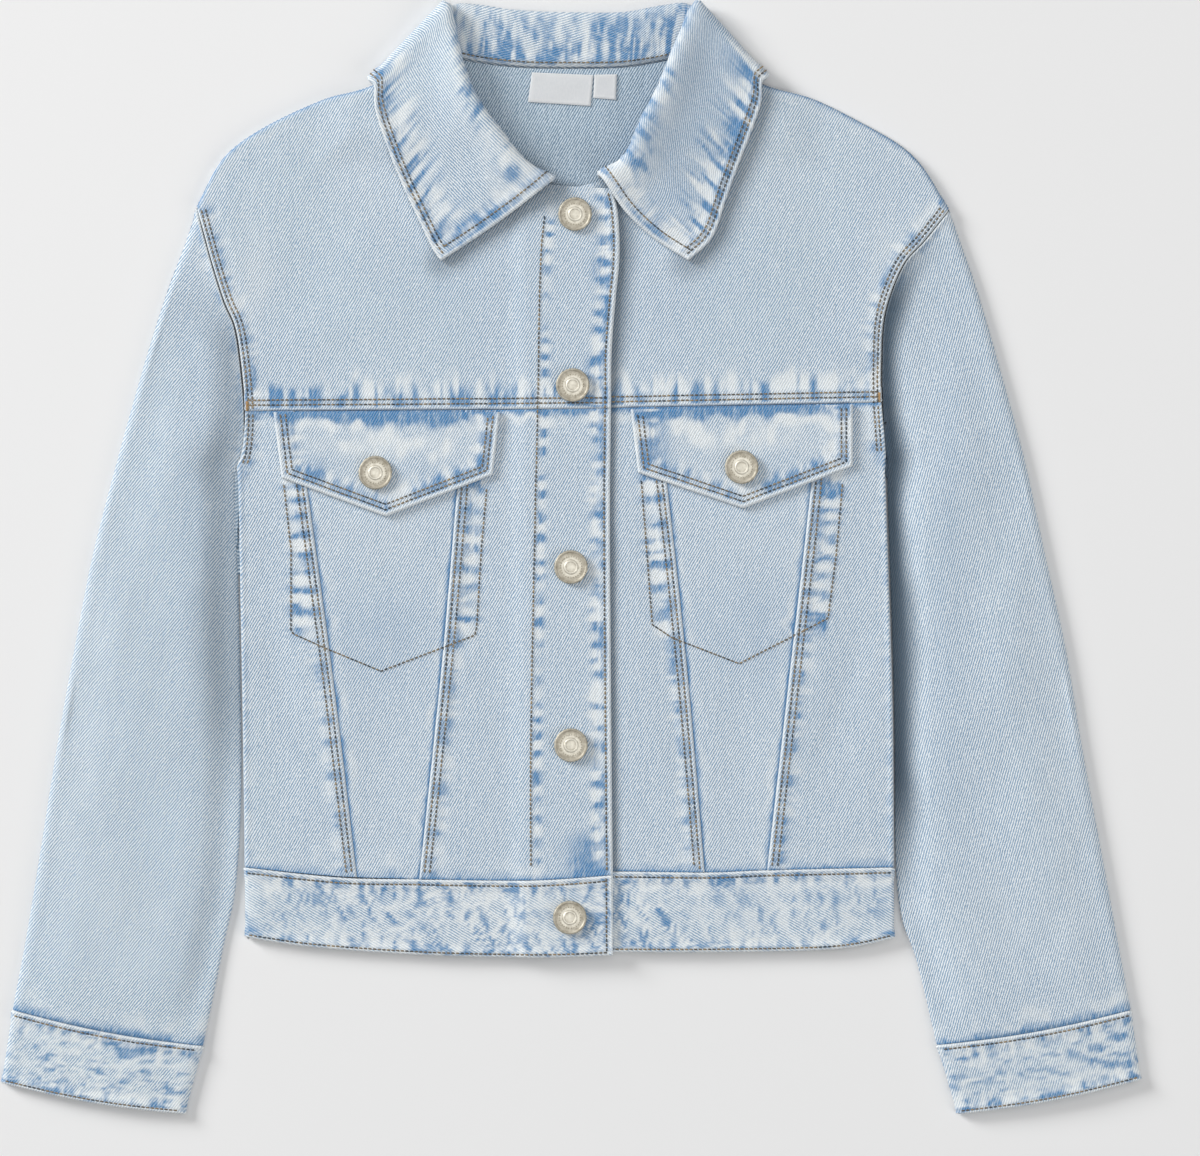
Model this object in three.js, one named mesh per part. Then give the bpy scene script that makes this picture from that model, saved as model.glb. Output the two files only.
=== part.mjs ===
// Child's denim jacket laid flat on a table, fastened, front side up.
// Millimetres. +X is the viewer's right, +Y runs towards the collar, +Z is up off the table.
// The origin is on the table under the middle of the jacket. "right" and "left" are the wearer's.
import * as THREE from 'three';

// Cloth
const CLOTH = 1.3;
const DOUBLE = 2.0;
const SEAM = 0.3;
// Half the thickness of the flat jacket, which is also the radius of its folded sides
const ROLL = 2.6;
const TOP = 2 * ROLL;
const HALF_SEAM = SEAM / 2;
// The buttoned front rises over the one below it, and its band of doubled cloth over the band below
const LAP = CLOTH + SEAM;
const BAND_LAP = DOUBLE + SEAM;
// The lap's rise is full up to the first x right of the middle and gone at the second
const LAP_RISE = { full: 22, gone: 34 };
// The collar's left leaf rests on the lap up to here, then on the front below it
const LAP_END = { from: 25, to: 34 };
// The back of the neck lies on the collar's fall, and so it is lifted over this area
const NECK_LIFT = DOUBLE + 2 * SEAM;
const NECK_AREA = { middleX: -1.5, halfWidth: 108, fadeX: 26, lowY: 225, fadeY: 24 };
// The sleeve stands this far beside the body at its armhole
const SEAM_BESIDE = 1.3 * SEAM;
// Sleeves: how far from its edges a sleeve reaches full height, and how much it swells
const SLEEVE_OUTER_SLOPE = 5;
const SLEEVE_INNER_SLOPE = 9;
const SLEEVE_SWELL = 0.8;
const SWELL_REACH = { from: 6, to: 34 };
// The swell dies out from the first height to the second, towards the cap of the sleeve
const SWELL_TOP = { from: 20, to: 150 };
// The share of a sleeve's length over which the armhole's shape straightens, and how quickly
const CAP_SHARE = 0.55;
const CAP_POWER = 1.4;
// Above this height the armhole seam lies level with the cloth round it
const ARMHOLE_LEVEL_Y = 128;
// A little over 1, so that rounding never leaves a step at the top of the armhole
const ARMHOLE_CLIMB = 1.02;
const UNDERLAP_X = -18.7;
const BACK_YOKE_Y = 100;
const LABEL_THICKNESS = 0.6;
const BUTTON_RADIUS = 8.8;
// Profile of a button head: share of the radius, then height
const BUTTON_PROFILE = [
  { share: 0, z: 0 },
  { share: 0.62, z: 0 },
  { share: 0.66, z: 0.7 },
  { share: 0.96, z: 0.9 },
  { share: 1, z: 1.6 },
  { share: 0.94, z: 2.8 },
  { share: 0.8, z: 2.5 },
  { share: 0.4, z: 2.5 },
  { share: 0.34, z: 2.9 },
  { share: 0, z: 2.9 },
];

// Shares of a folded edge's slope at which its facets bend
const ROLL_STEPS = [0, 0.134, 0.5, 1];
// A surface counts as level where its folded edge has risen to this share
const LEVEL_FROM = 0.9;
// Step used to measure slopes
const SLOPE_STEP = 0.5;
// Widths that set where the folded edges of wide pieces bend
const YOKE_SIZE = { width: 190, height: 135 };
const BACK_YOKE_SIZE = { width: 370, height: 140 };
const BACK_BODY_WIDTH = 335;
const SIDE_STRIP_WIDTH = 38;
// Share of the front yoke's top edge that is shoulder, the rest being neck
const YOKE_SHOULDER_SHARE = 0.58;
// Shares of the back yoke's top edge at which the neck begins and ends
const BACK_NECK = { start: 0.32, end: 0.66 };
// Shares of the side lines below the yokes that run along the armhole
const FRONT_ARMHOLE_SHARE = 0.13;
const BACK_ARMHOLE_SHARE = 0.2;
// The waistband on the back: hem at the sides and in the middle, and half its width
const BACK_HEM = { sideY: -197.2, middleY: -203.5, halfWidth: 170 };
// The waistband's flat rows run from the front edge to these x, and its folds are found at this height
const BAND_FLAT = { frontEdgeX: 21.9, rightX: -160, leftX: 158, foldY: -180 };

// Outlines, from the collar down
const SHOULDER = {
  right: [
    { x: -194.5, y: 182.1 },
    { x: -185.6, y: 201.5 },
    { x: -174.7, y: 214.3 },
    { x: -155.0, y: 226.8 },
    { x: -127.9, y: 239.0 },
    { x: -105.0, y: 245.2 },
    { x: -69.2, y: 262.2 },
  ],
  left: [
    { x: 196.5, y: 181.0 },
    { x: 184.6, y: 201.5 },
    { x: 172.1, y: 214.3 },
    { x: 150.8, y: 226.8 },
    { x: 125.8, y: 239.0 },
    { x: 101.0, y: 246.0 },
    { x: 64.0, y: 262.2 },
  ],
};
const ARMHOLE = {
  right: [
    { x: -194.5, y: 182.1 },
    { x: -187.2, y: 155.1 },
    { x: -180.4, y: 133.7 },
    { x: -174.7, y: 120.2 },
    { x: -171.6, y: 101.0 },
    { x: -169.6, y: 76.5 },
    { x: -170.6, y: 57.0 },
    { x: -173.6, y: 46.9 },
  ],
  left: [
    { x: 196.5, y: 181.0 },
    { x: 184.1, y: 165.5 },
    { x: 173.7, y: 154.0 },
    { x: 166.4, y: 138.0 },
    { x: 162.4, y: 122.0 },
    { x: 161.4, y: 101.0 },
    { x: 161.6, y: 81.0 },
    { x: 163.4, y: 53.7 },
  ],
};
const FLANK = {
  right: [
    { x: -173.6, y: 46.9 },
    { x: -173.0, y: 30.0 },
    { x: -171.0, y: -73.7 },
    { x: -169.8, y: -160.6 },
    { x: -169.3, y: -197.0 },
  ],
  left: [
    { x: 163.4, y: 53.7 },
    { x: 163.9, y: 30.0 },
    { x: 167.2, y: -73.7 },
    { x: 168.0, y: -160.6 },
    { x: 168.0, y: -197.5 },
  ],
};
const SLEEVE_OUTER = {
  right: [
    { x: -194.5, y: 182.1 },
    { x: -200.2, y: 164.4 },
    { x: -209.6, y: 139.5 },
    { x: -221.5, y: 102.0 },
    { x: -235.6, y: 52.1 },
    { x: -248.6, y: 2.2 },
    { x: -258.4, y: -47.7 },
    { x: -267.3, y: -97.7 },
    { x: -277.2, y: -160.0 },
    { x: -284.4, y: -203.0 },
    { x: -290.5, y: -234.9 },
  ],
  left: [
    { x: 196.5, y: 181.0 },
    { x: 202.3, y: 164.4 },
    { x: 211.0, y: 139.5 },
    { x: 222.0, y: 102.0 },
    { x: 235.6, y: 52.1 },
    { x: 246.5, y: 2.2 },
    { x: 257.4, y: -47.7 },
    { x: 265.7, y: -97.7 },
    { x: 277.2, y: -160.0 },
    { x: 286.0, y: -208.0 },
    { x: 291.2, y: -234.9 },
  ],
};
const SLEEVE_INNER = {
  right: [
    { x: -174.4, y: 46.9 },
    { x: -174.0, y: 30.0 },
    { x: -171.9, y: -73.7 },
    { x: -171.9, y: -130.0 },
    { x: -174.7, y: -172.5 },
    { x: -179.9, y: -197.5 },
    { x: -191.4, y: -253.7 },
  ],
  left: [
    { x: 164.1, y: 53.7 },
    { x: 164.6, y: 30.0 },
    { x: 167.9, y: -73.7 },
    { x: 168.7, y: -150.0 },
    { x: 171.6, y: -185.0 },
    { x: 180.0, y: -210.0 },
    { x: 190.3, y: -253.2 },
  ],
};
// Each cuff by its four corners and the sag of its two long edges
const CUFF = {
  right: {
    topOuter: { x: -290.5, y: -234.9 },
    topInner: { x: -191.4, y: -253.7 },
    bottomOuter: { x: -296.1, y: -272.9 },
    bottomInner: { x: -200.9, y: -289.2 },
    sag: 2.2,
  },
  left: {
    topOuter: { x: 291.2, y: -234.9 },
    topInner: { x: 190.3, y: -253.2 },
    bottomOuter: { x: 296.4, y: -271.2 },
    bottomInner: { x: 201.1, y: -289.2 },
    sag: 2.2,
  },
};
// Waist seam and hem of the waistband, from one side to the front edge
const WAIST_SEAM = {
  right: [
    { x: -169.8, y: -160.6 },
    { x: -120.1, y: -165.9 },
    { x: -79.0, y: -166.8 },
    { x: -20.8, y: -167.4 },
    { x: 21.8, y: -164.6 },
  ],
  left: [
    { x: 168.0, y: -160.6 },
    { x: 101.9, y: -162.1 },
    { x: 71.8, y: -163.2 },
    { x: 21.8, y: -162.7 },
    { x: UNDERLAP_X, y: -162.7 },
  ],
};
const HEM = {
  right: [
    { x: -169.3, y: -197.0 },
    { x: -134.7, y: -202.2 },
    { x: -76.4, y: -206.3 },
    { x: -17.7, y: -207.6 },
    { x: 22.2, y: -206.3 },
  ],
  left: [
    { x: 168.0, y: -197.5 },
    { x: 137.3, y: -203.2 },
    { x: 78.0, y: -204.8 },
    { x: 22.9, y: -204.8 },
    { x: UNDERLAP_X, y: -204.8 },
  ],
};
const FRONT_EDGE = {
  right: [
    { x: 22.0, y: 192.0 },
    { x: 24.4, y: 179.5 },
    { x: 25.3, y: 157.7 },
    { x: 23.2, y: 134.0 },
    { x: 21.2, y: 108.3 },
    { x: 20.8, y: 77.8 },
    { x: 20.3, y: 20.0 },
    { x: 21.0, y: -90.0 },
    { x: 21.8, y: -164.6 },
  ],
  left: [
    { x: UNDERLAP_X, y: 188.5 },
    { x: UNDERLAP_X, y: 77.5 },
    { x: UNDERLAP_X, y: -162.7 },
  ],
};
// Yoke seam height at the armhole and at the front edge
const YOKE_SEAM = {
  right: { armholeX: -169.6, armholeY: 76.5, edgeX: 20.8, edgeY: 77.8 },
  left: { armholeX: 161.6, armholeY: 81.0, edgeX: UNDERLAP_X, edgeY: 77.5 },
};
// The two slanting seams of each front, from the yoke seam down to the waist seam
const OUTER_SLANT = {
  right: [
    { x: -143.5, y: 76.5 },
    { x: -136.9, y: 34.9 },
    { x: -122.9, y: -68.5 },
    { x: -111.3, y: -165.8 },
  ],
  left: [
    { x: 127.4, y: 80.1 },
    { x: 124.6, y: 36.5 },
    { x: 113.4, y: -62.0 },
    { x: 101.9, y: -162.1 },
  ],
};
const INNER_SLANT = {
  right: [
    { x: -55.1, y: 77.0 },
    { x: -59.3, y: 35.5 },
    { x: -67.2, y: -55.0 },
    { x: -79.0, y: -166.8 },
  ],
  left: [
    { x: 44.0, y: 78.6 },
    { x: 49.9, y: 38.6 },
    { x: 60.6, y: -60.0 },
    { x: 69.5, y: -163.2 },
  ],
};
// Pocket flaps by their corners: the top edge lies along the yoke seam
const FLAP = {
  right: {
    topOuter: { x: -154.6, y: 75.9 },
    sideOuter: { x: -150.4, y: 41.7 },
    tip: { x: -96.3, y: 21.6 },
    sideInner: { x: -40.6, y: 43.3 },
    topInner: { x: -36.8, y: 75.9 },
    button: { x: -101.6, y: 44.4 },
  },
  left: {
    topOuter: { x: 146.4, y: 79.8 },
    sideOuter: { x: 146.4, y: 47.8 },
    tip: { x: 89.5, y: 25.8 },
    sideInner: { x: 34.8, y: 44.4 },
    topInner: { x: 30.9, y: 77.3 },
    button: { x: 88.6, y: 47.3 },
  },
};
const FRONT_BUTTONS = [
  { x: 2.1, y: 178.7 },
  { x: 0.9, y: 89.9 },
  { x: 0.0, y: -4.6 },
  { x: 0.0, y: -97.1 },
  { x: -0.6, y: -186.6 },
];
// Collar, a row for each section: the neck seam, the roll line and the outer edge.
// Back rows lie under the yoke, front rows on the fronts, and z is the height of the roll there.
const COLLAR_BACK = {
  right: [
    { seamX: -26.5, seamY: 254.9, rollX: -26.5, rollY: 284.8, edgeX: -30.0, edgeY: 227.3 },
    { seamX: -49.0, seamY: 257.6, rollX: -47.3, rollY: 286.9, edgeX: -64.0, edgeY: 229.5 },
    { seamX: -60.5, seamY: 260.0, rollX: -58.0, rollY: 288.0, edgeX: -86.0, edgeY: 235.0 },
  ],
  left: [
    { seamX: 26.5, seamY: 254.9, rollX: 28.1, rollY: 283.8, edgeX: 33.0, edgeY: 227.3 },
    { seamX: 45.0, seamY: 257.6, rollX: 47.8, rollY: 286.7, edgeX: 64.0, edgeY: 229.5 },
    { seamX: 55.8, seamY: 260.0, rollX: 57.5, rollY: 288.0, edgeX: 84.0, edgeY: 236.0 },
  ],
};
const COLLAR_MIDDLE = { seamX: 0, seamY: 254.4, rollX: 1, rollY: 283.6, edgeX: 1, edgeY: 226.5 };
const COLLAR_TURN = {
  right: { seamX: -69.2, seamY: 262.2, rollX: -65.6, rollY: 289.6, edgeX: -105.4, edgeY: 248.6 },
  left: { seamX: 64.0, seamY: 262.2, rollX: 66.0, rollY: 289.6, edgeX: 102.4, edgeY: 250.2 },
};
const COLLAR_FRONT = {
  right: [
    { seamX: -66.5, seamY: 252.0, rollX: -60.6, rollY: 277.0, rollZ: 14, edgeX: -101.9, edgeY: 234.0 },
    { seamX: -63.5, seamY: 239.5, rollX: -56.5, rollY: 258.0, rollZ: 17, edgeX: -95.2, edgeY: 213.0 },
    { seamX: -56.7, seamY: 226.0, rollX: -49.5, rollY: 240.0, rollZ: 17.5, edgeX: -87.4, edgeY: 193.5 },
    { seamX: -43.7, seamY: 211.5, rollX: -38.5, rollY: 224.5, rollZ: 16.5, edgeX: -78.5, edgeY: 174.5 },
    { seamX: -27.5, seamY: 201.0, rollX: -24.0, rollY: 206.5, rollZ: 14, edgeX: -71.8, edgeY: 160.5 },
    { seamX: -10.4, seamY: 194.4, rollX: -8.5, rollY: 196.5, rollZ: 12, edgeX: -67.6, edgeY: 154.4 },
  ],
  left: [
    { seamX: 62.0, seamY: 252.0, rollX: 58.6, rollY: 277.0, rollZ: 14, edgeX: 99.0, edgeY: 238.0 },
    { seamX: 60.0, seamY: 240.5, rollX: 52.5, rollY: 262.0, rollZ: 17, edgeX: 94.6, edgeY: 223.7 },
    { seamX: 54.1, seamY: 228.0, rollX: 44.7, rollY: 243.0, rollZ: 17.5, edgeX: 87.0, edgeY: 204.5 },
    { seamX: 43.7, seamY: 214.0, rollX: 35.9, rollY: 226.0, rollZ: 16.5, edgeX: 80.6, edgeY: 186.5 },
    { seamX: 31.0, seamY: 202.0, rollX: 28.0, rollY: 209.0, rollZ: 14, edgeX: 73.0, edgeY: 166.0 },
    { seamX: 14.6, seamY: 195.8, rollX: 14.0, rollY: 199.0, rollZ: 12, edgeX: 61.0, edgeY: 154.6 },
  ],
};
// How far each collar end bows out beyond the straight line from roll to point
const COLLAR_END_BOW = { right: 1.0, left: 4.5 };
// The collar's section: where the stand and the crest lie, and two places down the leaf
const BACK_LIE = {
  footOut: 1.2,
  standShare: 0.6,
  crestOut: 1.8,
  seamRise: 0.5,
  standRise: 2.2,
  rollZ: 3.1,
  crestRise: 0.1,
};
const FRONT_LIE = { footOut: 2.1, standShare: 0.72, crestOut: 3.2, standRise: 0.45, rollDrop: 2.2 };
const LEAF_SHARES = [0.36, 0.66];
// How quickly the leaf comes down from its roll onto the cloth below
const LEAF_POWER = 2.4;
// The leaf's facets clear the cloth below by a little more than a seam
const LEAF_CLEAR = 0.7;
// Height of the middle of the fall where it lies on the table
const FLOOR_Z = DOUBLE / 2;
// The half circle at the shoulder is drawn in by at most this much
const TURN_RADIUS = 4.2;
const TURN_ANGLES = [-90, -45, 0, 45, 90];
// Largest folds: a soft trough (depth above 0) or ridge along a line, fading at both ends
const FOLD_START = { from: -0.15, to: 0.2 };
const FOLD_END = { from: 0.75, to: 1.15 };
const FOLDS = [
  { x0: -197, y0: 140, x1: -194, y1: 70, width: 14, depth: 1.2 },
  { x0: -232, y0: 30, x1: -205, y1: -70, width: 16, depth: 0.9 },
  { x0: -256, y0: -70, x1: -215, y1: -150, width: 15, depth: 1.0 },
  { x0: -200, y0: -90, x1: -225, y1: -215, width: 16, depth: 0.9 },
  { x0: 186, y0: 130, x1: 182, y1: 40, width: 13, depth: 1.3 },
  { x0: 228, y0: 50, x1: 203, y1: -60, width: 16, depth: 0.9 },
  { x0: 252, y0: -60, x1: 214, y1: -140, width: 15, depth: 1.0 },
  { x0: 200, y0: -100, x1: 236, y1: -210, width: 16, depth: 0.9 },
  { x0: -120, y0: 215, x1: -150, y1: 120, width: 18, depth: 0.7 },
  { x0: 118, y0: 214, x1: 140, y1: 120, width: 16, depth: 0.8 },
  { x0: -158, y0: 30, x1: -150, y1: -130, width: 11, depth: 0.7 },
  { x0: 150, y0: 25, x1: 138, y1: -130, width: 11, depth: 0.7 },
  { x0: -98, y0: -40, x1: -94, y1: -150, width: 13, depth: 0.6 },
  { x0: 92, y0: -40, x1: 86, y1: -150, width: 13, depth: 0.6 },
];

// Corners of the two neck labels
const LABEL_MAIN = [
  { x: -20.3, y: 252.6 },
  { x: 11.6, y: 251.2 },
  { x: 10.2, y: 235.1 },
  { x: -22.4, y: 237.2 },
];
const LABEL_SIZE = [
  { x: 12.2, y: 251.4 },
  { x: 23.9, y: 251.6 },
  { x: 23.4, y: 238.3 },
  { x: 11.6, y: 239.3 },
];

const DENIM = { color: 0xa9bccd, roughness: 0.92, metalness: 0 };
const METAL = { color: 0xb4aa98, roughness: 0.38, metalness: 0.9 };
const LABEL = { color: 0xe6e4df, roughness: 0.8, metalness: 0 };

const jacket = new THREE.Group();
const SIDES = ['right', 'left'];
const vec2 = (row) => new THREE.Vector2(row.x, row.y);
const clamp = THREE.MathUtils.clamp;
const lerp = THREE.MathUtils.lerp;
const smooth = (value, low, high) => THREE.MathUtils.smoothstep(value, low, high);

function addPiece(name, geometry, look) {
  const mesh = new THREE.Mesh(geometry, new THREE.MeshStandardMaterial(look));
  mesh.name = name;
  jacket.add(mesh);
  return mesh;
}

// A smooth line through table rows, walked by its length from 0 to 1
function smoothLine(rows) {
  const spline = new THREE.SplineCurve(rows.map(vec2));
  return (t) => spline.getPointAt(clamp(t, 0, 1));
}

function straightLine(a, b) {
  return (t) => new THREE.Vector2(lerp(a.x, b.x, t), lerp(a.y, b.y, t));
}

function joinLines(first, second, split) {
  return (t) => (t <= split ? first(t / split) : second((t - split) / (1 - split)));
}

function partOfLine(line, start, end) {
  return (t) => line(lerp(start, end, t));
}

// The share of a line's length at which it crosses a height, for lines that fall steadily
function shareAtHeight(line, y) {
  let low = 0;
  let high = 1;
  for (let step = 0; step < 30; step += 1) {
    const middle = (low + high) / 2;
    if (line(middle).y > y) {
      low = middle;
    } else {
      high = middle;
    }
  }
  return (low + high) / 2;
}

function polyline(line, steps) {
  return Array.from({ length: steps + 1 }, (_, i) => line(i / steps));
}

// Distance from a place to a polyline, with the unit direction away from it
function awayFrom(points, x, y) {
  let best = { distance: Infinity, gx: 0, gy: 0, y: 0 };
  for (let i = 0; i + 1 < points.length; i += 1) {
    const a = points[i];
    const b = points[i + 1];
    const dx = b.x - a.x;
    const dy = b.y - a.y;
    const share = clamp(((x - a.x) * dx + (y - a.y) * dy) / (dx * dx + dy * dy), 0, 1);
    const nearX = a.x + share * dx;
    const nearY = a.y + share * dy;
    const distance = Math.hypot(x - nearX, y - nearY);
    if (distance < best.distance) {
      const length = Math.hypot(dx, dy);
      const far = distance > 0.05;
      best = {
        distance,
        gx: far ? (x - nearX) / distance : -dy / length,
        gy: far ? (y - nearY) / distance : dx / length,
        y: nearY,
        onEdge: !far,
      };
    }
  }
  return best;
}

const EDGES = {};
for (const side of SIDES) {
  const shoulder = smoothLine(SHOULDER[side]);
  const armhole = smoothLine(ARMHOLE[side]);
  const flank = smoothLine(FLANK[side]);
  const inner = smoothLine(SLEEVE_INNER[side]);
  const outer = smoothLine(SLEEVE_OUTER[side]);
  const cuff = CUFF[side];
  const cuffInner = straightLine(cuff.topInner, cuff.bottomInner);
  const cuffOuter = straightLine(cuff.topOuter, cuff.bottomOuter);
  EDGES[side] = {
    shoulder,
    armhole,
    flank,
    inner,
    outer,
    shoulderPoints: polyline(shoulder, 40),
    bodyPoints: [...polyline(armhole, 40), ...polyline(flank, 24).slice(1)],
    sleeveInnerPoints: [
      ...polyline(armhole, 40).slice(0, -1),
      ...polyline(inner, 40),
      ...polyline(cuffInner, 4).slice(1),
    ],
    sleeveOuterPoints: [...polyline(outer, 40), ...polyline(cuffOuter, 4).slice(1)],
    underarmY: ARMHOLE[side].at(-1).y,
    inward: side === 'right' ? 1 : -1,
  };
}

// The armhole seam climbs from the folded side at the underarm to the level cloth above
function armholeClimb(side, y) {
  return ARMHOLE_CLIMB * smooth(y, EDGES[side].underarmY - 2, ARMHOLE_LEVEL_Y);
}

function neckLift(x, y) {
  const below = (NECK_AREA.lowY - y) / NECK_AREA.fadeY;
  const beside = (Math.abs(x - NECK_AREA.middleX) - NECK_AREA.halfWidth) / NECK_AREA.fadeX;
  return NECK_LIFT * (1 - smooth(Math.max(below, beside), 0, 1));
}

function foldHeight(x, y) {
  let height = 0;
  for (const fold of FOLDS) {
    const dx = fold.x1 - fold.x0;
    const dy = fold.y1 - fold.y0;
    const share = ((x - fold.x0) * dx + (y - fold.y0) * dy) / (dx * dx + dy * dy);
    const across = ((x - fold.x0) * dy - (y - fold.y0) * dx) / Math.hypot(dx, dy);
    const start = smooth(share, FOLD_START.from, FOLD_START.to);
    const along = start * (1 - smooth(share, FOLD_END.from, FOLD_END.to));
    height -= fold.depth * along * Math.exp(-((across / fold.width) ** 2));
  }
  return height;
}

// A rolled edge: share 0 is the folded side at half height, share 1 is level
function rolled(away, share, slope) {
  const angle = Math.acos(1 - clamp(share, 0, 1));
  const out = ROLL * Math.cos(angle);
  const up = slope * Math.sin(angle);
  const length = Math.hypot(out, up) || 1;
  return { rise: Math.sin(angle), nx: (-away.gx * out) / length, ny: (-away.gy * out) / length };
}

function settle(x, y, rolls, face, heightOf) {
  const lowest = rolls.reduce((a, b) => (a.rise <= b.rise ? a : b));
  const sign = face === 'front' ? 1 : -1;
  const base = ROLL + neckLift(x, y);
  let z = base + sign * ROLL * lowest.rise;
  const step = SLOPE_STEP;
  const level = smooth(lowest.rise, LEVEL_FROM, 1);
  let slopeX = 0;
  let slopeY = 0;
  if (face === 'front' && level > 0) {
    z += level * heightOf(x, y);
    slopeX = (level * (heightOf(x + step, y) - heightOf(x - step, y))) / (2 * step);
    slopeY = (level * (heightOf(x, y + step) - heightOf(x, y - step))) / (2 * step);
  }
  slopeX += (neckLift(x + step, y) - neckLift(x - step, y)) / (2 * step);
  slopeY += (neckLift(x, y + step) - neckLift(x, y - step)) / (2 * step);
  const up = Math.sqrt(Math.max(0, 1 - lowest.nx ** 2 - lowest.ny ** 2));
  const tiltX = lowest.nx - sign * slopeX * up;
  const tiltY = lowest.ny - sign * slopeY * up;
  const normal = new THREE.Vector3(tiltX, tiltY, sign * up).normalize();
  return { point: new THREE.Vector3(x, y, z), normal };
}

// Outer surface of the body at a place in plan
function bodySurface(side, face, raised = 0) {
  const edges = EDGES[side];
  return (x, y) => {
    const flank = awayFrom(edges.bodyPoints, x, y);
    if (flank.onEdge) {
      flank.gx = edges.inward;
      flank.gy = 0;
    }
    const shoulder = awayFrom(edges.shoulderPoints, x, y);
    if (shoulder.onEdge) {
      const flip = shoulder.gy > 0 ? -1 : 1;
      shoulder.gx *= flip;
      shoulder.gy *= flip;
    }
    const flankShare = flank.distance / ROLL + armholeClimb(side, flank.y);
    const shoulderShare = shoulder.distance / ROLL;
    const rolls = [rolled(flank, flankShare, ROLL), rolled(shoulder, shoulderShare, ROLL)];
    const rise = (px) => raised * (1 - smooth(-px, LAP_RISE.full, LAP_RISE.gone));
    const lapped = (px, py) => foldHeight(px, py) + rise(px);
    return settle(x, y, rolls, face, lapped);
  };
}

function sleeveSurface(side, face) {
  const edges = EDGES[side];
  const innerSlope = face === 'front' ? SLEEVE_INNER_SLOPE : ROLL;
  const outerSlope = face === 'front' ? SLEEVE_OUTER_SLOPE : ROLL;
  const swell = (px, py) => {
    const reach = Math.min(
      awayFrom(edges.sleeveInnerPoints, px, py).distance,
      awayFrom(edges.sleeveOuterPoints, px, py).distance,
    );
    const cap = 1 - smooth(py, SWELL_TOP.from, SWELL_TOP.to);
    return foldHeight(px, py) + SLEEVE_SWELL * smooth(reach, SWELL_REACH.from, SWELL_REACH.to) * cap;
  };
  return (x, y) => {
    const inner = awayFrom(edges.sleeveInnerPoints, x, y);
    const outer = awayFrom(edges.sleeveOuterPoints, x, y);
    if (inner.onEdge) {
      inner.gx = -edges.inward;
      inner.gy = 0;
    }
    if (outer.onEdge) {
      outer.gx = edges.inward;
      outer.gy = 0;
    }
    const innerShare = inner.distance / innerSlope + armholeClimb(side, inner.y);
    const outerShare = outer.distance / outerSlope;
    const rolls = [rolled(inner, innerShare, innerSlope), rolled(outer, outerShare, outerSlope)];
    return settle(x, y, rolls, face, swell);
  };
}

// A wall of cloth between an outer and an inner grid of points. A ring closes on itself.
function wall(outer, inner, ring = false) {
  const rows = outer.length;
  const columns = outer[0].length;
  const positions = [];
  for (const grid of [outer, inner]) {
    for (const row of grid) {
      for (const p of row) {
        positions.push(p.x, p.y, p.z);
      }
    }
  }
  const at = (layer, i, j) => layer * rows * columns + (i % rows) * columns + j;
  const faces = [];
  const quad = (a, b, c, d) => faces.push(a, b, c, a, c, d);
  const spans = ring ? rows : rows - 1;
  for (let i = 0; i < spans; i += 1) {
    for (let j = 0; j + 1 < columns; j += 1) {
      quad(at(0, i, j), at(0, i + 1, j), at(0, i + 1, j + 1), at(0, i, j + 1));
      quad(at(1, i, j), at(1, i, j + 1), at(1, i + 1, j + 1), at(1, i + 1, j));
    }
    quad(at(0, i, 0), at(1, i, 0), at(1, i + 1, 0), at(0, i + 1, 0));
    const last = columns - 1;
    quad(at(0, i, last), at(0, i + 1, last), at(1, i + 1, last), at(1, i, last));
  }
  if (!ring) {
    for (let j = 0; j + 1 < columns; j += 1) {
      quad(at(0, 0, j), at(0, 0, j + 1), at(1, 0, j + 1), at(1, 0, j));
      const end = rows - 1;
      quad(at(0, end, j), at(1, end, j), at(1, end, j + 1), at(0, end, j + 1));
    }
  }
  const geometry = new THREE.BufferGeometry();
  geometry.setAttribute('position', new THREE.Float32BufferAttribute(positions, 3));
  geometry.setIndex(volume(positions, faces) < 0 ? faces.reverse() : faces);
  geometry.computeVertexNormals();
  return geometry;
}

function volume(positions, faces) {
  const corner = (k) => new THREE.Vector3().fromArray(positions, 3 * faces[k]);
  let total = 0;
  for (let k = 0; k < faces.length; k += 3) {
    total += corner(k).dot(corner(k + 1).cross(corner(k + 2))) / 6;
  }
  return total;
}

// A grid of plan points from four boundary lines: bottom and top run together, left and right rise
function planGrid(bottom, top, left, right, us, vs) {
  return us.map((u) =>
    vs.map((v) => {
      const blend = (key) =>
        (1 - v) * bottom(u)[key] + v * top(u)[key] + (1 - u) * left(v)[key] + u * right(v)[key]
        - (1 - u) * (1 - v) * bottom(0)[key] - u * (1 - v) * bottom(1)[key]
        - (1 - u) * v * top(0)[key] - u * v * top(1)[key];
      return new THREE.Vector2(blend('x'), blend('y'));
    }),
  );
}

// Cloth hung below its surface, or standing off above it: outer and inner points
function clothFrom(grid, surface, thickness, standOff = 0) {
  const seats = grid.map((row) => row.map((p) => surface(p.x, p.y)));
  const offset = (amount) => seats.map((row) =>
    row.map((seat) => seat.point.clone().addScaledVector(seat.normal, amount)));
  if (standOff > 0) {
    return [offset(standOff + thickness), offset(standOff)];
  }
  return [offset(0), offset(-thickness)];
}

function spread(count, start = 0, end = 1) {
  return Array.from({ length: count + 1 }, (_, i) => lerp(start, end, i / count));
}

// Shares of a width at which a folded edge bends, from its start or towards its end
function rollShares(width, slope = ROLL) {
  return ROLL_STEPS.map((share) => (share * slope) / width);
}

function rollEndShares(width, slope = ROLL) {
  return rollShares(width, slope).map((share) => 1 - share).reverse();
}

const shiftX = (line, dx) => (t) => line(t).clone().add(new THREE.Vector2(dx, 0));

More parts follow.
